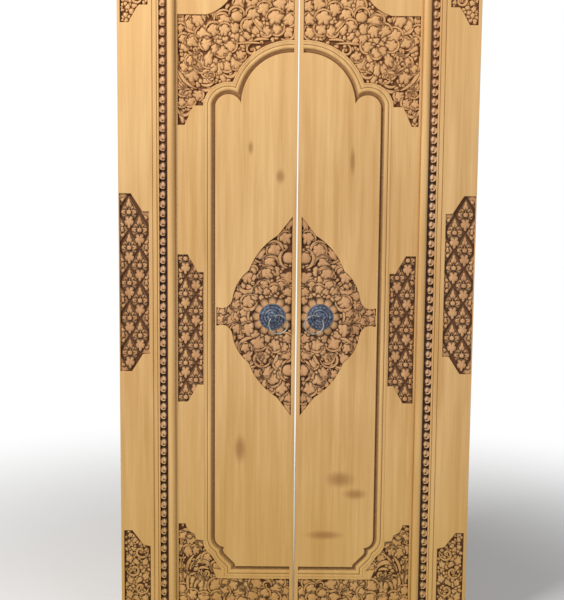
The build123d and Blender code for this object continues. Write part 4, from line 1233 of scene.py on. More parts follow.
@dataclass
class Board:
    """A board under construction, whose face is filled between sunk fields and run mouldings."""

    side: Side
    face: float
    lip: float = 0.0006
    mesh: BMesh = field(default_factory=bmesh.new)
    rims: Edges = field(default_factory=list)

    def __post_init__(self) -> None:
        """Adds the place in its line and the painted lightness, low where shade is painted, to every vertex.
        """
        self.order = self.mesh.verts.layers.int.new("order")
        self.shade = self.mesh.verts.layers.float.new("shade")

    def line(self, points: Sequence[Point], y: float, closed: bool, shade: float = 1.0) -> Edges:
        """Draws a line at one depth.

        Args:
            points: The (u, z) points of the line.
            y: Depth.
            closed: Whether the last point joins the first.
            shade: Painted lightness along it, low where shade is painted.

        Returns:
            The edges of the line.
        """
        verts = []
        for k, (u, z) in enumerate(points):
            vert = self.mesh.verts.new((self.side.value * u, y, z))
            vert[self.order] = k
            vert[self.shade] = shade
            verts.append(vert)
        ends = verts[1:] + verts[:1] if closed else verts[1:]
        return [self.mesh.edges.new(pair) for pair in zip(verts, ends)]

    def extend(self, edges: Edges, points: Sequence[Point], y: float, shade: float) -> Edges:
        """Extrudes a line and moves the new one onto other points, one for each.

        Args:
            edges: Edges of the line.
            points: The (u, z) points of the new line.
            y: Its depth.
            shade: Painted lightness along it, low where shade is painted.

        Returns:
            The edges of the new line.
        """
        old = {vert for edge in edges for vert in edge.verts}
        made = bmesh.ops.extrude_edge_only(self.mesh, edges=edges)["geom"]
        new = {g for g in made if isinstance(g, BMVert)} - old
        for vert in new:
            u, z = points[vert[self.order]]
            vert.co = (self.side.value * u, y, z)
            vert[self.shade] = shade
        return [g for g in made if isinstance(g, BMEdge) and set(g.verts) <= new]

    def sink(self, outline: Sequence[Point], depth: float, bevel: float = 0.0) -> None:
        """Sinks a field below the face.

        Args:
            outline: The field's outline.
            depth: Depth of its ground.
            bevel: Width of the bevelled edge round it, or nothing.
        """
        points = list(outline)
        area = sum(a[0] * b[1] - b[0] * a[1] for a, b in sides(points))
        outwards = -1.0 if area > 0 else 1.0
        edges = self.line(offset_line(points, outwards * max(bevel, self.lip)), self.face, True)
        self.rims += edges
        # The field's walls are painted darker with depth and its ground is painted fully dark: painted shade
        # in the recess.
        for drop, shade in ((max(bevel * 0.8, self.lip), 0.85), (depth * 0.6, 0.25), (depth, 0.0)):
            edges = self.extend(edges, points, self.face + drop, shade)
        bmesh.ops.triangle_fill(self.mesh, edges=edges, use_beauty=True)

    def fill_face(self, border: Edges) -> None:
        """Fills the face between its border and the rims of what is sunk in it."""
        bmesh.ops.triangle_fill(self.mesh, edges=border + self.rims, use_beauty=True)

    def close(self) -> None:
        """Closes what is still open and turns all faces outwards."""
        bmesh.ops.remove_doubles(self.mesh, verts=self.mesh.verts, dist=SAME_PLACE)
        open_edges = [edge for edge in self.mesh.edges if edge.is_boundary]
        bmesh.ops.holes_fill(self.mesh, edges=open_edges, sides=0)
        bmesh.ops.recalc_face_normals(self.mesh, faces=self.mesh.faces)


# Section of the panel's moulding: growth of the panel's outline, depth below the face, painted lightness, low
# where shade is painted in its hollows
MOULDING = (
    (0.0098, 0.0000, 1.00), (0.0093, 0.0011, 0.25), (0.0088, 0.0002, 0.90), (0.0078, 0.0000, 1.00),
    (0.0040, 0.0003, 1.00), (0.0010, 0.0012, 0.80), (0.0000, 0.0030, 0.10), (-0.0012, 0.0014, 0.60),
    (-0.0030, 0.0004, 1.00), (-0.0065, 0.0000, 1.00), (-0.0095, 0.0007, 1.00), (-0.0118, 0.0026, 0.80),
    (-0.0127, 0.0048, 0.45), (-0.0150, 0.0066, 0.35), (-0.0185, 0.0076, 0.30), (-0.0215, 0.0080, 0.12),
    (-0.0232, 0.0076, 0.10), (-0.0245, 0.0020, 0.60), (-0.0255, 0.0004, 1.00), (-0.0260, 0.0000, 1.00),
)


@dataclass
class CarvedBoard:
    """What a leaf and a jamb share: a board with sunk and carved fields, one of them with lozenges."""

    sizes: DoorSizes
    side: Side
    wood: Material
    carved_wood: Material
    field_depth: float = 0.010
    field_bevel: float = 0.0014
    field_inner: float = 0.3004
    field_outer: float = 0.384
    lozenge_z: float = 1.017
    lozenge_reach: float = 0.241
    button: float = 0.0086
    lozenge_leaf: Point = (0.042, 0.034)
    filling: Point = (0.0058, 0.0120)

    @property
    def lozenges(self) -> LozengeField:
        """The lozenge field."""
        middle = ((self.field_inner + self.field_outer) / 2, self.lozenge_z)
        return LozengeField(middle, (self.field_outer - self.field_inner) / 2, self.lozenge_reach)

    def new_relief(self, face: float) -> Relief:
        """Returns an empty relief on the ground of the fields, which are sunk below a face."""
        return Relief(self.side, face + self.field_depth, self.field_depth - Board.lip)


@dataclass
class Leaf(CarvedBoard):
    """One leaf of the door: its board with the moulding and the pivots, and its carving."""

    flower_radius: float = 0.066
    chamfer: float = 0.0012
    arris: float = 0.0003
    hinge_steps: int = 12
    pivot_sunk: float = 0.004
    pivot_sides: int = 24
    seed: int = 11

    @property
    def body(self) -> str:
        """Name of the body that the leaf is."""
        return f"{self.side.label}_leaf"

    def build_board(self) -> Object:
        """Builds the leaf's board with its moulding, sunk fields, round hinge edge and pivots.

        Returns:
            The piece.
        """
        sizes = self.sizes
        drawing = LeafDrawing(sizes)
        board = Board(self.side, sizes.leaf_front)
        for outline in (drawing.spandrel(), drawing.corner(), drawing.diamond()):
            board.sink(outline, self.field_depth)
        board.sink(self.lozenges.outline(), self.field_depth, bevel=self.field_bevel)
        self.run_moulding(board, drawing)
        border = board.line(self.rim(-self.arris, self.chamfer + self.arris), sizes.leaf_front, True)
        board.fill_face(border)
        edges = board.extend(border, self.rim(0.0, self.chamfer), sizes.leaf_front, 1.0)
        half = (sizes.leaf_back - sizes.leaf_front) / 2
        first = math.degrees(math.acos(1 - self.chamfer / half))
        for k in range(self.hinge_steps + 1):
            angle = math.radians(first + (180 - first) * k / self.hinge_steps)
            rim = self.rim(half * math.sin(angle), 0.0)
            edges = board.extend(edges, rim, sizes.pivot_y - half * math.cos(angle), 1.0)
        bmesh.ops.triangle_fill(board.mesh, edges=edges, use_beauty=True)
        board.close()
        self.add_pivots(board)
        return make_piece(f"{self.side.label}_leaf_board", board.mesh, self.wood)

    def rim(self, round_by: float, inset: float) -> list[Point]:
        """Returns the leaf's outline at one depth of its round hinge edge.

        Args:
            round_by: How far the hinge edge stands outside the pivot's middle.
            inset: How far the other edges are drawn in.

        Returns:
            The corners of the outline.
        """
        sizes = self.sizes
        low, high = sizes.leaf_bottom + inset, sizes.leaf_top - inset
        inner, outer = sizes.seam + inset, sizes.pivot_u + round_by
        return [(inner, low), (outer, low), (outer, high), (inner, high)]

    def run_moulding(self, board: Board, drawing: LeafDrawing) -> None:
        """Runs the moulding round the panel, from the meeting strip and back to it.

        Args:
            board: The board.
            drawing: The lines of its face.
        """
        grow, _, shade = MOULDING[0]
        edges = board.line(drawing.panel(grow), board.face, False, shade)
        board.rims += edges
        first = {vert for edge in edges for vert in edge.verts if len(vert.link_edges) == 1}
        for grow, depth, shade in MOULDING[1:]:
            edges = board.extend(edges, drawing.panel(grow), board.face + depth, shade)
        board.rims += edges
        count = {vert: sum(vert in edge.verts for edge in edges) for edge in edges for vert in edge.verts}
        last = {vert for vert, uses in count.items() if uses == 1}
        for vert in first:
            mate = min(last, key=lambda other: (other.co - vert.co).length)
            board.rims.append(board.mesh.edges.new((vert, mate)))

    def add_pivots(self, board: Board) -> None:
        """Adds the round pivots at the top and the bottom of the hanging stile.

        Args:
            board: The board.
        """
        sizes = self.sizes
        for end, way in ((sizes.leaf_top, 1), (sizes.leaf_bottom, -1)):
            middle = end + way * (sizes.pivot_depth - self.pivot_sunk) / 2
            place = Matrix.Translation((self.side.value * sizes.pivot_u, sizes.pivot_y, middle))
            made = bmesh.ops.create_cone(
                board.mesh, cap_ends=True, segments=self.pivot_sides, radius1=sizes.pivot_radius,
                radius2=sizes.pivot_radius, depth=sizes.pivot_depth + self.pivot_sunk, matrix=place,
            )
            for vert in made["verts"]:
                vert[board.shade] = 1.0

    def build_carving(self) -> Iterable[Object]:
        """Carves the leaf's fields.

        Yields:
            One piece for each field.
        """
        drawing = LeafDrawing(self.sizes)
        luck = random.Random(self.seed + self.side.value)
        fields = (
            ("diamond", DIAMOND_PLAN, drawing.diamond(), 2600),
            ("spandrel", SPANDREL_PLAN, drawing.spandrel(), 4200),
            ("corner", CORNER_PLAN, drawing.corner(), 2200),
        )
        for name, plan, outline, tries in fields:
            relief = self.new_relief(self.sizes.leaf_front)
            relief.outline = outline
            flowered = plan is DIAMOND_PLAN
            for form in plan.forms(luck):
                apart = math.dist(form.circle()[:2], self.sizes.handle)
                if not flowered or apart > self.flower_radius:
                    relief.add(form)
            if flowered:
                self.build_flower(relief)
            relief.fill(outline, luck, tries, self.filling)
            yield relief.finish(f"{self.side.label}_leaf_{name}", self.carved_wood)
        relief = self.new_relief(self.sizes.leaf_front)
        relief.lozenges(self.lozenges, self.button, self.lozenge_leaf, luck)
        yield relief.finish(f"{self.side.label}_leaf_lozenges", self.carved_wood)

    def build_flower(self, relief: Relief) -> None:
        """Carves the scalloped flower under the handle's plate.

        Args:
            relief: The relief of the field that holds it.
        """
        across = 2 * self.flower_radius
        relief.add(LeafForm(
            *self.sizes.handle, across, across, 90, 12, rise=0.0104, notch=0.07, taper=0.0, flute=0.26,
            tilt=0.0, clear=0.94, around=120,
        ))


@dataclass
class Jamb(CarvedBoard):
    """One side of the frame: a board with a run of mouldings, a bead channel and carved fields."""

    field_depth: float = 0.009
    field_inner: float = 0.474
    field_outer: float = 0.568
    lozenge_reach: float = 0.287
    button: float = 0.0088
    lozenge_leaf: Point = (0.043, 0.034)
    filling: Point = (0.0050, 0.0100)
    fillet: float = 0.024
    fillet_edge: float = 0.009
    fillet_drop: float = 0.0005
    fillet_steps: int = 12
    channel: float = 0.025
    channel_depth: float = 0.012
    channel_edge: Point = (0.0006, 0.0008)
    arris: float = 0.004
    groove: float = 0.004
    groove_depth: float = 0.003
    band: float = 0.010
    board_edge: float = 0.463
    chamfer: float = 0.0012
    end_setback: float = 0.007
    end_reach: float = 0.346
    end_step: float = 0.292
    end_far: float = 0.035
    end_corner_u: float = 0.534
    upper_slope: tuple[Point, Point] = ((0.526, 0.015), (0.512, 0.040))
    upper_step_u: float = 0.501
    lower_slope: Point = (0.498, 0.006)
    tries: int = 1200
    scrolls: int = 4
    scroll_pitch: float = 0.062
    scroll_start: float = 0.020
    rebate_gap: float = 0.002
    lip: float = 0.015
    seed: int = 41

    def __post_init__(self) -> None:
        """Puts the lozenge field at half the jamb's height."""
        self.lozenge_z = self.sizes.height / 2

    def section(self) -> list[Point]:
        """Draws the jamb's section, from the board's inner edge round to its outer front edge.

        Returns:
            The (u, y) points of the section.
        """
        sizes = self.sizes
        opening, front, lip = sizes.opening, sizes.front, sizes.front + self.lip
        inner = opening + self.fillet
        outer = inner + self.channel
        floor = front + self.channel_depth
        rebate = opening + sizes.lap + self.rebate_gap
        round_y = front + self.fillet_edge
        edge = outer + self.arris + self.groove + self.band + self.groove
        line: list[Point] = [(self.board_edge, front)]
        for start in (edge - self.groove, outer + self.arris):
            line += [(start + self.groove, front), (start + self.groove / 2, front + self.groove_depth)]
            line.append((start, front))
        across, drop = self.channel_edge
        line += [(outer + across, front), (outer, front + drop), (outer, floor), (inner, floor)]
        crown = (opening + self.fillet / 2, front + self.fillet_drop)
        line += arc_through((inner, round_y), crown, (opening, round_y), self.fillet_steps)
        line += [(opening, lip), (rebate, lip), (rebate, sizes.back), (sizes.half_width, sizes.back)]
        line += [(sizes.half_width, front + self.chamfer), (sizes.half_width - self.chamfer, front)]
        return chain(line)

    def end_field(self, up: bool) -> list[Point]:
        """Draws the carved field at one end of the jamb.

        Args:
            up: Whether it is the upper one.

        Returns:
            The corners of its outline.
        """
        outer = self.field_outer - self.end_setback
        foot, step, far = self.end_reach, self.end_step, self.end_far
        slope = [(self.lower_slope[0], step + self.lower_slope[1])]
        if up:
            foot, step, far = (self.sizes.height - part for part in (foot, step, far))
            slope = [(u, foot + rise) for u, rise in self.upper_slope] + [(self.upper_step_u, step)]
        near = [(outer, foot), (self.end_corner_u, foot)]
        return near + slope + [(self.field_inner, step), (self.field_inner, far), (outer, far)]

    def shade(self, u: float, y: float) -> float:
        """Tells how much painted shade the section gets: painted dark in the channel and dim in the grooves.

        Args:
            u: Distance from the door's middle.
            y: Depth.

        Returns:
            The painted lightness.
        """
        front, side_share, dim_from, dark_from = self.sizes.front, 0.9, 0.0025, 0.010
        if not self.board_edge > u > self.sizes.opening + self.fillet * side_share or y <= front + dim_from:
            return 1.0
        return 0.1 if y > front + dark_from else 0.45

    def build_board(self) -> Object:
        """Builds the jamb with its mouldings and sunk fields.

        Returns:
            The piece.
        """
        sizes = self.sizes
        board = Board(self.side, sizes.front)
        verts = []
        for u, y in self.section():
            vert = board.mesh.verts.new((self.side.value * u, y, 0.0))
            vert[board.shade] = self.shade(u, y)
            verts.append(vert)
        low = [board.mesh.edges.new(pair) for pair in zip(verts, verts[1:])]
        made = bmesh.ops.extrude_edge_only(board.mesh, edges=low)["geom"]
        top = [g for g in made if isinstance(g, BMVert) and g not in verts]
        bmesh.ops.translate(board.mesh, verts=top, vec=(0, 0, sizes.height))
        for outline in (self.lozenges.outline(), self.end_field(True), self.end_field(False)):
            board.sink(outline, self.field_depth, bevel=self.field_bevel)
        ends = (verts[0], verts[-1])
        uprights = []
        for end in ends:
            uprights += [edge for edge in end.link_edges if edge.calc_length() > sizes.height / 2]
        heads = [edge.other_vert(end) for edge, end in zip(uprights, ends)]
        board.fill_face(uprights + [board.mesh.edges.new(ends), board.mesh.edges.new(heads)])
        board.close()
        return make_piece(f"{self.side.label}_jamb_board", board.mesh, self.wood)

    def build_carving(self) -> Object:
        """Carves the lozenges and the scrollwork of both ends.

        Returns:
            The piece.
        """
        luck = random.Random(self.seed + self.side.value)
        relief = self.new_relief(self.sizes.front)
        relief.lozenges(self.lozenges, self.button, self.lozenge_leaf, luck)
        for up in (True, False):
            relief.outline = self.end_field(up)
            for form in self.end_forms(up):
                relief.add(form)
            relief.fill(relief.outline, luck, self.tries, self.filling)
        return relief.finish(f"{self.side.label}_jamb_carving", self.carved_wood)

    def end_forms(self, up: bool) -> Iterable[Form]:
        """Carves a climbing stem of scrolls and leaves for one end of the jamb.

        Args:
            up: Whether the field is the upper one.

        Yields:
            The forms, from the field's step to its far end.
        """
        way = 1 if up else -1
        step, into = self.end_step, self.scroll_start
        start = self.sizes.height - step + into if up else step - into
        middle = (self.field_inner + self.field_outer - self.end_setback) / 2
        ahead = 90 * way
        for k in range(self.scrolls):
            z = start + way * self.scroll_pitch * k
            lean = 1 if k % 2 else -1
            u = middle + lean * 0.012
            yield volute((u, z), 0.026, 0.006, 90 - 60 * lean, lean * way * 400, 0.009)
            yield eye(u, z, 0.007)
            yield LeafForm(middle - lean * 0.028, z + way * 0.020, 0.040, 0.026, ahead + lean * 20, 5)
            yield LeafForm(middle + lean * 0.026, z + way * 0.034, 0.034, 0.024, ahead - lean * 30, 5)
            yield LeafForm(middle - lean * 0.006, z + way * 0.034, 0.034, 0.020, ahead + lean * 50, 3)


@dataclass
class BeadRun:
    """The run of carved beads in a jamb's channel, on its thin back."""

    side: Side
    wood: Material
    pitch: float = 0.030
    length: float = 0.0288
    width: float = 0.0220
    back: float = 0.0030
    rise: float = 0.0076
    rim_rise: float = 0.0070
    pad_rise: float = 0.0050
    crease_width: float = 0.0016
    crease_depth: float = 0.0007

    @property
    def node(self) -> str:
        """Name of the node that the run stands for."""
        return f"{self.side.label}_bead_strip"

    def build(self) -> Object:
        """Builds the back and the beads.

        Returns:
            The piece.
        """
        low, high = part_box(self.node)
        relief = Relief(self.side, high.y - self.back, self.rise, self.crease_width, self.crease_depth)
        middle = abs(low.x + high.x) / 2
        count = round((high.z - low.z) / self.pitch)
        step = (high.z - low.z) / count
        for k in range(count):
            self.add_bead(relief, middle, low.z + (k + 0.5) * step)
        size = Vector((high.x - low.x, self.back, high.z - low.z))
        centre = Vector(((low.x + high.x) / 2, high.y - self.back / 2, (low.z + high.z) / 2))
        place = Matrix.Translation(centre) @ Matrix.Diagonal((*size, 1.0))
        # The back's vertices get no lightness, so it is painted fully dark, as shade on the channel's floor.
        bmesh.ops.create_cube(relief.mesh, size=1.0, matrix=place)
        return relief.finish(f"{self.side.label}_beads", self.wood)

    def add_bead(self, relief: Relief, u: float, z: float) -> None:
        """Adds one bead: a rounded tongue from the top, held below by a rim like a C.

        Args:
            relief: The relief of the run.
            u: Middle of the bead across.
            z: Height of its middle.
        """
        half, tall = self.width / 2, self.length / 2
        levels = (0.0, 0.6, 1.0)
        relief.add(smooth(u, z, self.length, self.width, rise=self.pad_rise, around=12, levels=levels))
        relief.add(LeafForm(
            u - 0.10 * half, z + 0.22 * tall, 0.74 * self.length, 0.60 * self.width, 258, 1, rise=self.rise,
            notch=0.0, taper=0.2, flute=0.0, around=10, levels=(0.0, 0.45, 0.8, 1.0),
        ))
        start, via = (u + 0.62 * half, z + 0.70 * tall), (u + 0.50 * half, z - 0.62 * tall)
        rim = arc_through(start, via, (u - 0.66 * half, z - 0.52 * tall), 6)
        relief.add(BandForm(tuple(rim), 0.24 * self.width, 0.6, self.rim_rise, groove=0.0, around=8))


# Section of a handle's plate, from its rim to its middle: share of its radius, share of its rise
PLATE = (
    (1.00, 0.00), (1.00, 0.16), (0.965, 0.32), (0.92, 0.34), (0.885, 0.20), (0.85, 0.32), (0.80, 0.42),
    (0.74, 0.50), (0.68, 0.52), (0.64, 0.38), (0.60, 0.54), (0.54, 0.70), (0.49, 0.72), (0.455, 0.58),
    (0.42, 0.80), (0.36, 0.93), (0.30, 1.00), (0.20, 1.00), (0.10, 1.00), (0.0, 1.00),
)


@dataclass
class Handle:
    """The iron plate of one leaf's handle and the ring that hangs from its eye."""

    side: Side
    iron: Material
    steel: Material
    wire: float = 0.002
    wire_sides: int = 14
    ring_steps: int = 64
    plate_steps: int = 56
    weld: float = 1e-5
    petals: tuple[tuple[float, float, int], ...] = ((0.76, 0.10, 8), (0.38, 0.07, 4))
    grooves: tuple[float, ...] = (0.885, 0.64, 0.455)
    groove_width: float = 0.022
    dent: float = 0.13

    def turn(self, mesh: BMesh, section: list, steps: int) -> None:
        """Spins a section once round the z axis and joins it to its start."""
        bmesh.ops.spin(mesh, geom=section, cent=(0, 0, 0), axis=(0, 0, 1), angle=math.tau, steps=steps,
                       use_merge=True, use_duplicate=False)
        bmesh.ops.remove_doubles(mesh, verts=mesh.verts, dist=self.weld)

    def stand(self, mesh: BMesh, place: Sequence[float]) -> None:
        """Turns a shape from lying to facing the front, at its place, with its faces outwards."""
        matrix = Matrix.Translation(place) @ Matrix.Rotation(math.pi / 2, 4, "X")
        bmesh.ops.transform(mesh, matrix=matrix, verts=mesh.verts)
        bmesh.ops.recalc_face_normals(mesh, faces=mesh.faces)

    def build_plate(self) -> Object:
        """Turns the plate and hammers its petals.

        Returns:
            The piece.
        """
        low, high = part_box(f"{self.side.label}_rosette")
        centre = (low + high) / 2
        radius, rise = (high.z - low.z) / 2, high.y - low.y
        mesh = bmesh.new()
        shade = mesh.verts.layers.float.new("shade")
        points = [mesh.verts.new((share * radius, 0.0, lift * rise)) for share, lift in PLATE]
        back = mesh.verts.new((0.0, 0.0, 0.0))
        edges = [mesh.edges.new(pair) for pair in zip([back, *points], points)]
        self.turn(mesh, points + [back] + edges, self.plate_steps)
        for vert in mesh.verts:
            share = math.hypot(vert.co.x, vert.co.y) / radius
            angle = math.atan2(vert.co.y, vert.co.x)
            # Painted light and shade: the face and the petals' crowns are painted lighter; the rim's edge,
            # the dents between petals and the turned grooves are painted dark.
            light = 0.75 if share < 0.99 else 0.2
            for middle, reach, petals in self.petals:
                fade = math.exp(-(((share - middle) / reach) ** 2))
                dip = fade * (1 - abs(math.cos(petals * angle)) ** 0.7)
                vert.co.z -= self.dent * rise * dip
                light += 0.25 * fade - 1.1 * dip
            for groove in self.grooves:
                light -= 0.85 * math.exp(-(((share - groove) / self.groove_width) ** 2))
            vert[shade] = clamp(light)
        self.stand(mesh, (centre.x, high.y, centre.z))
        return make_piece(f"{self.side.label}_plate", mesh, self.iron, 40)

    def build_ring(self) -> Object:
        """Turns the ring about its own middle.

        Returns:
            The piece.
        """
        low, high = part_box(f"{self.side.label}_ring")
        radius = (high.x - low.x) / 2 - self.wire
        mesh = bmesh.new()
        upright = Matrix.Translation((radius, 0, 0)) @ Matrix.Rotation(math.pi / 2, 4, "X")
        made = bmesh.ops.create_circle(mesh, segments=self.wire_sides, radius=self.wire, matrix=upright)
        edges = list({edge for vert in made["verts"] for edge in vert.link_edges})
        self.turn(mesh, made["verts"] + edges, self.ring_steps)
        self.stand(mesh, (low + high) / 2)
        return make_piece(f"{self.side.label}_ring_wire", mesh, self.steel, 60)


# Finishes

def srgb(red: float, green: float, blue: float) -> tuple[float, float, float, float]:
    """Converts a colour written in 0 to 255 to the linear values of a shader, with a full alpha."""
    shares = [value / 255 for value in (red, green, blue)]
    return (*(s / 12.92 if s <= 0.04045 else ((s + 0.055) / 1.055) ** 2.4 for s in shares), 1.0)


Value = Union["Wire", float]


class Wire:
    """A socket in a shader, with arithmetic on its value."""

    def __init__(self, sheet: "Sheet", socket: bpy.types.NodeSocket) -> None:
        """Keeps the sheet and the socket."""
        self.sheet = sheet
        self.socket = socket

    def math(self, operation: str, *others: Value) -> "Wire":
        """Applies a Math node to this value and others."""
        return self.sheet.node("ShaderNodeMath", {"operation": operation}, dict(enumerate([self, *others])))

    def __add__(self, other: Value) -> "Wire":
        """Adds."""
        return self.math("ADD", other)

    def __sub__(self, other: Value) -> "Wire":
        """Takes away."""
        return self.math("SUBTRACT", other)

    def __rsub__(self, other: Value) -> "Wire":
        """Takes this value away from a number."""
        return self.math("MULTIPLY", -1.0) + other

    def __mul__(self, other: Value) -> "Wire":
        """Multiplies."""
        return self.math("MULTIPLY", other)

    def __truediv__(self, other: Value) -> "Wire":
        """Divides."""
        return self.math("DIVIDE", other)

    __radd__ = __add__
    __rmul__ = __mul__

    def clamp(self) -> "Wire":
        """Keeps the value between 0 and 1."""
        return self.math("MAXIMUM", 0.0).math("MINIMUM", 1.0)

    def ramp(self, low: float, high: float) -> "Wire":
        """Returns a smooth step that rises from 0 at low to 1 at high, or falls where low is higher."""
        values = {0: self, 1: low, 2: high, 3: 0.0, 4: 1.0}
        return self.sheet.node("ShaderNodeMapRange", {"interpolation_type": "SMOOTHSTEP"}, values)


class Sheet:
    """The node tree of one finish, or of the surroundings."""

    def __init__(self, owner: Union[Material, bpy.types.World]) -> None:
        """Opens an empty tree.

        Args:
            owner: The material or world that the tree belongs to.
        """
        owner.use_nodes = True
        self.owner = owner
        self.tree = owner.node_tree
        self.tree.nodes.clear()

    def node(self, kind: str, settings: dict, inputs: dict, output: Union[int, str] = 0) -> Wire:
        """Adds a node.

        Args:
            kind: Type of the node.
            settings: Properties, set before the sockets.
            inputs: Values or wires by the socket's name or number.
            output: Name or number of the socket that is returned.

        Returns:
            The output socket.
        """
        made = self.tree.nodes.new(kind)
        for key, value in settings.items():
            setattr(made, key, value)
        for key, value in inputs.items():
            if isinstance(value, Wire):
                self.tree.links.new(value.socket, made.inputs[key])
            else:
                made.inputs[key].default_value = value
        return Wire(self, made.outputs[output])

    def end(self, kind: str, shader: Wire) -> None:
        """Ends the tree in an output node."""
        self.tree.links.new(shader.socket, self.tree.nodes.new(kind).inputs["Surface"])

    def place(self) -> Wire:
        """Returns the place in the object, in metres."""
        return self.node("ShaderNodeTexCoord", {}, {}, "Object")

    def shade(self) -> Wire:
        """Returns the painted lightness that the mesh carries, low where shade is painted."""
        return self.node("ShaderNodeAttribute", {"attribute_name": "shade"}, {}, "Fac")

    def vector(self, operation: str, *values: object, output: Union[int, str] = 0) -> Wire:
        """Applies a Vector Math node to vectors."""
        return self.node("ShaderNodeVectorMath", {"operation": operation}, dict(enumerate(values)), output)

    def stretch(self, vector: Wire, factors: Place) -> Wire:
        """Multiplies a vector by three factors."""
        return self.vector("MULTIPLY", vector, factors)

    def noise(self, vector: Wire, scale: float, detail: float = 3.0, rough: float = 0.55) -> Wire:
        """Returns a noise between 0 and 1."""
        values = {"Vector": vector, "Scale": scale, "Detail": detail, "Roughness": rough}
        return self.node("ShaderNodeTexNoise", {"noise_dimensions": "3D"}, values)

    def mix(self, share: Wire, first: object, second: object) -> Wire:
        """Mixes two colours."""
        settings = {"data_type": "RGBA", "blend_type": "MIX", "clamp_factor": True}
        return self.node("ShaderNodeMix", settings, {0: share, 6: first, 7: second}, 2)

    def bump(self, strength: float, distance: float, height: Wire) -> Wire:
        """Returns a normal that follows a height."""
        return self.node("ShaderNodeBump", {}, {"Strength": strength, "Distance": distance, "Height": height})

    def spot(self, place: Wire, centre: Point, size: Point) -> Wire:
        """Draws a soft spot, seen from the front.

        Args:
            place: Place in the object.
            centre: Its middle.
            size: Half its width and half its height.

        Returns:
            A value that is 1 in its middle and 0 outside.
        """
        shifted = self.vector("SUBTRACT", place, (centre[0], 0.0, centre[1]))
        scaled = self.stretch(shifted, (1 / size[0], 0.0, 1 / size[1]))
        return self.vector("LENGTH", scaled, output="Value").ramp(1.0, 0.15)

    def surface(self, inputs: dict) -> Material:
        """Ends the tree in a principled surface and returns the material."""
        self.end("ShaderNodeOutputMaterial", self.node("ShaderNodeBsdfPrincipled", {}, inputs))
        return self.owner


@dataclass(frozen=True)
class TeakFinish:
    """Oiled teak with upright grain, dark in the hollows of its carving from stain and from painted shade."""

    name: str
    light: Colour
    deep: Colour
    # Colours of the carving's hollows low and high on the door, partly stain and partly painted shade.
    crevice: Colour = (98, 60, 34)
    high_crevice: Colour = (128, 78, 40)
    foot: Colour = (180, 142, 62)
    head: Colour = (234, 182, 120)
    stain: Colour = (140, 92, 46)
    carved: bool = True
    roughness: float = 0.52
    stains: tuple[tuple[Point, Point], ...] = ()
    rise: float = 0.25

    def build(self) -> Material:
        """Builds the material: grain, a yellower foot, a paler head, stains, and hollows darkened by stain
        and painted shade.

        Returns:
            The material.
        """
        sheet = Sheet(bpy.data.materials.new(self.name))
        place = sheet.place()
        height = sheet.node("ShaderNodeSeparateXYZ", {}, {0: place}, "Z")
        drift = sheet.noise(sheet.stretch(place, (1.0, 1.0, 0.16)), 7.0, 3.0)
        streak = sheet.noise(sheet.stretch(place, (1.0, 1.0, 0.035)), 60.0, 4.0, 0.62)
        fine = sheet.noise(sheet.stretch(place, (1.0, 1.0, 0.02)), 420.0, 2.0, 0.6)
        tone = (drift.ramp(0.30, 0.70) * 0.40 + streak.ramp(0.30, 0.72) * 0.42 + fine * 0.28).clamp()
        colour = sheet.mix(tone, srgb(*self.deep), srgb(*self.light))
        colour = sheet.mix(height.ramp(0.95, 0.15) * 0.45, colour, srgb(*self.foot))
        colour = sheet.mix(height.ramp(1.55, 1.95) * self.rise, colour, srgb(*self.head))
        for centre, size in self.stains:
            mark = sheet.spot(place, centre, size) * (0.35 + fine * 0.5)
            colour = sheet.mix(mark, colour, srgb(*self.stain))
        # Painted shade: the mesh's painted lightness, roughened by noise, mixes the colour towards the
        # hollows' colour, which is lighter high on the door.
        if self.carved:
            shade = sheet.shade()
            uneven = sheet.noise(place, 130.0, 3.0)
            lit = (shade + (uneven - 0.5) * 0.35 * (1.0 - shade)).clamp()
            hollow = sheet.mix(height.ramp(1.50, 1.72) * 0.6, srgb(*self.crevice), srgb(*self.high_crevice))
            colour = sheet.mix(lit.ramp(0.0, 0.85), hollow, colour)
        return sheet.surface({
            "Base Color": colour,
            "Roughness": self.roughness + fine * 0.16,
            "Normal": sheet.bump(0.12, 0.0006, fine * 0.5 + streak * 0.5),
            "Specular IOR Level": 0.2,
        })


@dataclass(frozen=True)
class MetalFinish:
    """Weathered metal with patches of patina."""

    name: str
    bare: Colour
    patina: Colour
    metallic: float = 0.6
    roughness: float = 0.42
    patches: float = 90.0
    # carved makes the mesh's painted lightness mix in crevice, the colour of the shade painted in the plate's
    # dents and grooves.
    carved: bool = False
    crevice: Colour = (24, 20, 20)

    def build(self) -> Material:
        """Builds the material.

        Returns:
            The material.
        """
        sheet = Sheet(bpy.data.materials.new(self.name))
        place = sheet.place()
        cloud = sheet.noise(place, self.patches, 5.0, 0.65)
        speck = sheet.noise(place, self.patches * 6, 3.0, 0.6)
        share = (cloud.ramp(0.38, 0.66) * 0.8 + speck.ramp(0.45, 0.7) * 0.3).clamp()
        colour = sheet.mix(share, srgb(*self.bare), srgb(*self.patina))
        # Painted shade: the mesh's painted lightness darkens the colour towards crevice.
        if self.carved:
            colour = sheet.mix(sheet.shade().ramp(0.0, 0.9), srgb(*self.crevice), colour)
        return sheet.surface({
            "Base Color": colour,
            "Roughness": self.roughness + share * 0.25,
            "Metallic": (1.0 - share * 0.7) * self.metallic,
            "Normal": sheet.bump(0.3, 0.0005, cloud + speck * 0.5),
        })


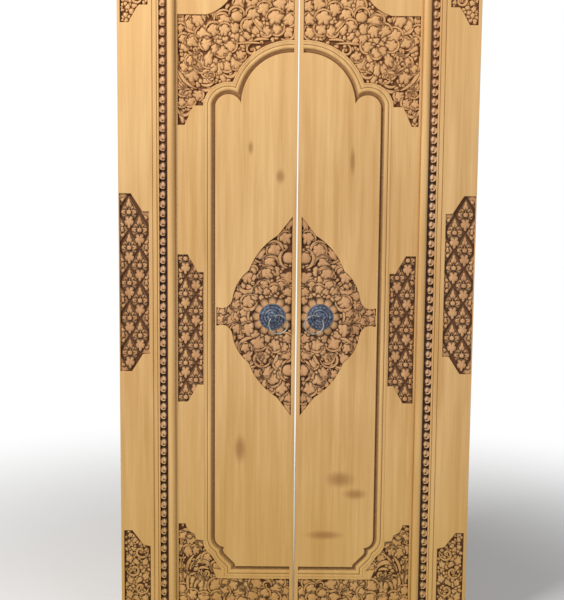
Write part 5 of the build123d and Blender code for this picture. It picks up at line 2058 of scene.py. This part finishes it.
@dataclass(frozen=True)
class FloorFinish:
    """A pale floor that fades out towards its edge."""

    name: str
    radius: float
    colour: Colour = (246, 245, 243)
    full: float = 0.30
    gone: float = 0.98

    def build(self) -> Material:
        """Builds the material.

        Returns:
            The material.
        """
        sheet = Sheet(bpy.data.materials.new(self.name))
        far = sheet.vector("LENGTH", sheet.place(), output="Value") / self.radius
        alpha = far.ramp(self.gone, self.full)
        return sheet.surface({"Base Color": srgb(*self.colour), "Roughness": 0.9, "Alpha": alpha})


# Stains of the wood: middle, then half the width and half the height
STAINS = (
    ((-0.318, 1.915), (0.020, 0.016)), ((0.175, 1.560), (0.012, 0.060)), ((-0.150, 1.600), (0.012, 0.030)),
    ((-0.055, 1.510), (0.020, 0.030)), ((0.150, 0.520), (0.060, 0.035)), ((0.200, 0.470), (0.050, 0.024)),
    ((-0.180, 0.620), (0.026, 0.060)), ((0.100, 0.330), (0.080, 0.020)),
)


@dataclass
class Stage:
    """Floor, backdrop, light and camera."""

    sizes: DoorSizes
    distance: float = 3.0
    eye_height: float = 1.420
    eye_u: float = -0.0465
    tilt: float = 5.8
    roll: float = 0.5
    lens: float = 56.2
    floor_radius: float = 3.2
    sky: Colour = (0.97, 0.98, 1.0)
    sky_light: float = 0.34

    def build_ground(self) -> None:
        """Builds the round pale floor, which fades into the white surroundings."""
        mesh = bmesh.new()
        bmesh.ops.create_circle(mesh, cap_ends=True, segments=96, radius=self.floor_radius)
        floor = make_piece("floor", mesh, FloorFinish("floor_pale", self.floor_radius).build(), 80)
        floor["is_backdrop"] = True

    def lamp(self, name: str, place: Place, size: float, power: float, colour: Colour) -> None:
        """Hangs a square area lamp that points at the door's middle.

        Args:
            name: Name of the lamp.
            place: Where it hangs.
            size: Its side.
            power: Its power in watts.
            colour: Its colour.
        """
        data = bpy.data.lights.new(name, "AREA")
        data.shape = "SQUARE"
        data.size = size
        data.energy = power
        data.color = colour
        lamp = bpy.data.objects.new(name, data)
        lamp.location = place
        aim = Vector((0, 0, self.sizes.height * 0.5)) - lamp.location
        lamp.rotation_mode = "QUATERNION"
        lamp.rotation_quaternion = aim.to_track_quat("-Z", "Y")
        bpy.context.scene.collection.objects.link(lamp)

    def build_light(self) -> None:
        """Sets the soft studio light and the white surroundings, and shows colours as they are."""
        bpy.context.scene.view_settings.view_transform = "Standard"
        self.lamp("key", (-2.4, -2.2, 3.8), 1.3, 150.0, (1.0, 0.98, 0.95))
        self.lamp("fill", (2.8, -3.2, 1.8), 2.6, 36.0, self.sky)
        world = bpy.data.worlds.new("surroundings")
        bpy.context.scene.world = world
        sheet = Sheet(world)
        seen = sheet.node("ShaderNodeLightPath", {}, {}, "Is Camera Ray")
        soft = sheet.node("ShaderNodeBackground", {}, {0: (*self.sky, 1.0), 1: self.sky_light})
        white = sheet.node("ShaderNodeBackground", {}, {0: (1.0, 1.0, 1.0, 1.0), 1: 1.0})
        mixed = sheet.node("ShaderNodeMixShader", {}, {0: seen, 1: soft, 2: white})
        sheet.end("ShaderNodeOutputWorld", mixed)

    def build_camera(self) -> None:
        """Sets the camera where the door is seen as a person standing before it sees it."""
        data = bpy.data.cameras.new("view")
        data.lens = self.lens
        data.clip_start = 0.1
        data.clip_end = 60.0
        camera = bpy.data.objects.new("view", data)
        place = Matrix.Translation((self.eye_u, self.sizes.front - self.distance, self.eye_height))
        pitch = Matrix.Rotation(math.radians(90 - self.tilt), 4, "X")
        camera.matrix_world = place @ pitch @ Matrix.Rotation(math.radians(self.roll), 4, "Z")
        bpy.context.scene.collection.objects.link(camera)
        bpy.context.scene.camera = camera


def write_sizes(name: str, sizes: dict[str, list[list[float]]]) -> None:
    """Notes the object's box.

    Args:
        name: What is measured.
        sizes: The notes so far.
    """
    sizes[name] = [list(corner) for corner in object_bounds()]


def dress_nodes(finishes: dict[Slot, Material]) -> None:
    """Gives every piece that is carried over from the frame the finish of its slot.

    Args:
        finishes: The material of each slot.
    """
    slots = {
        Slot.TEAK: ("head", "sill"),
        Slot.PEG_WOOD: (
            "frame_pegs", "bolt_bar", "bolt_outer_keeper", "bolt_inner_keeper", "bolt_catch", "keeper_pegs",
            "catch_pegs",
        ),
        Slot.DARK_IRON: ("left_ring_eye", "right_ring_eye", "left_eye_washer", "right_eye_washer"),
    }
    for slot, names in slots.items():
        for name in names:
            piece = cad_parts[name]
            piece.data.materials.clear()
            piece.data.materials.append(finishes[slot])
            log.info("%s wears %s", name, finishes[slot].name)


def mount(piece: Object, body: str, slot: Slot, node: str = "") -> None:
    """Puts a piece on the body that carries it and hides the node that it stands for.

    Args:
        piece: The piece.
        body: The body that carries it.
        slot: Its material slot; not used.
        node: The node that it replaces, or nothing.
    """
    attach(piece, body)
    if node:
        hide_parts(node)


def main() -> None:
    """Builds the door in order and logs each piece."""
    logging.basicConfig(level=logging.INFO, format="%(name)s %(message)s")
    noted: dict[str, list[list[float]]] = {}
    write_sizes("frame", noted)
    sizes = DoorSizes.from_frame()
    light, deep = (230, 190, 132), (190, 142, 82)
    finishes = {
        Slot.TEAK: TeakFinish("teak_plain", light, deep, carved=False, stains=STAINS).build(),
        Slot.PEG_WOOD: TeakFinish("peg_wood", (178, 136, 88), (140, 98, 58), carved=False).build(),
        Slot.DARK_IRON: MetalFinish("dark_iron", (64, 70, 84), (104, 116, 138)).build(),
        Slot.RING_STEEL: MetalFinish("ring_steel", (196, 196, 188), (96, 94, 90)).build(),
    }
    board = TeakFinish("teak_board", light, deep, stains=STAINS).build()
    carved = TeakFinish("teak_carved", (226, 178, 128), (164, 114, 72), (66, 42, 24), rise=0.5).build()
    plate = MetalFinish("plate_iron", (66, 74, 92), (136, 148, 172), metallic=0.35, carved=True).build()
    beads = TeakFinish("teak_beads", (236, 194, 150), (190, 138, 98), (56, 34, 20)).build()
    for side in Side:
        leaf = Leaf(sizes, side, board, carved)
        mount(leaf.build_board(), leaf.body, Slot.LEAF_TEAK, leaf.body)
        for piece in leaf.build_carving():
            mount(piece, leaf.body, Slot.LEAF_TEAK)
        jamb = Jamb(sizes, side, board, carved)
        mount(jamb.build_board(), "frame", Slot.TEAK, f"{side.label}_jamb")
        mount(jamb.build_carving(), "frame", Slot.TEAK)
        run = BeadRun(side, beads)
        mount(run.build(), "frame", Slot.BEAD_TEAK, run.node)
        handle = Handle(side, plate, finishes[Slot.RING_STEEL])
        mount(handle.build_plate(), leaf.body, Slot.DARK_IRON, f"{side.label}_rosette")
        mount(handle.build_ring(), f"{side.label}_ring", Slot.RING_STEEL, f"{side.label}_ring")
    dress_nodes(finishes)
    stage = Stage(sizes)
    stage.build_ground()
    stage.build_light()
    stage.build_camera()
    write_sizes("scene", noted)


if __name__ == "__main__":
    main()
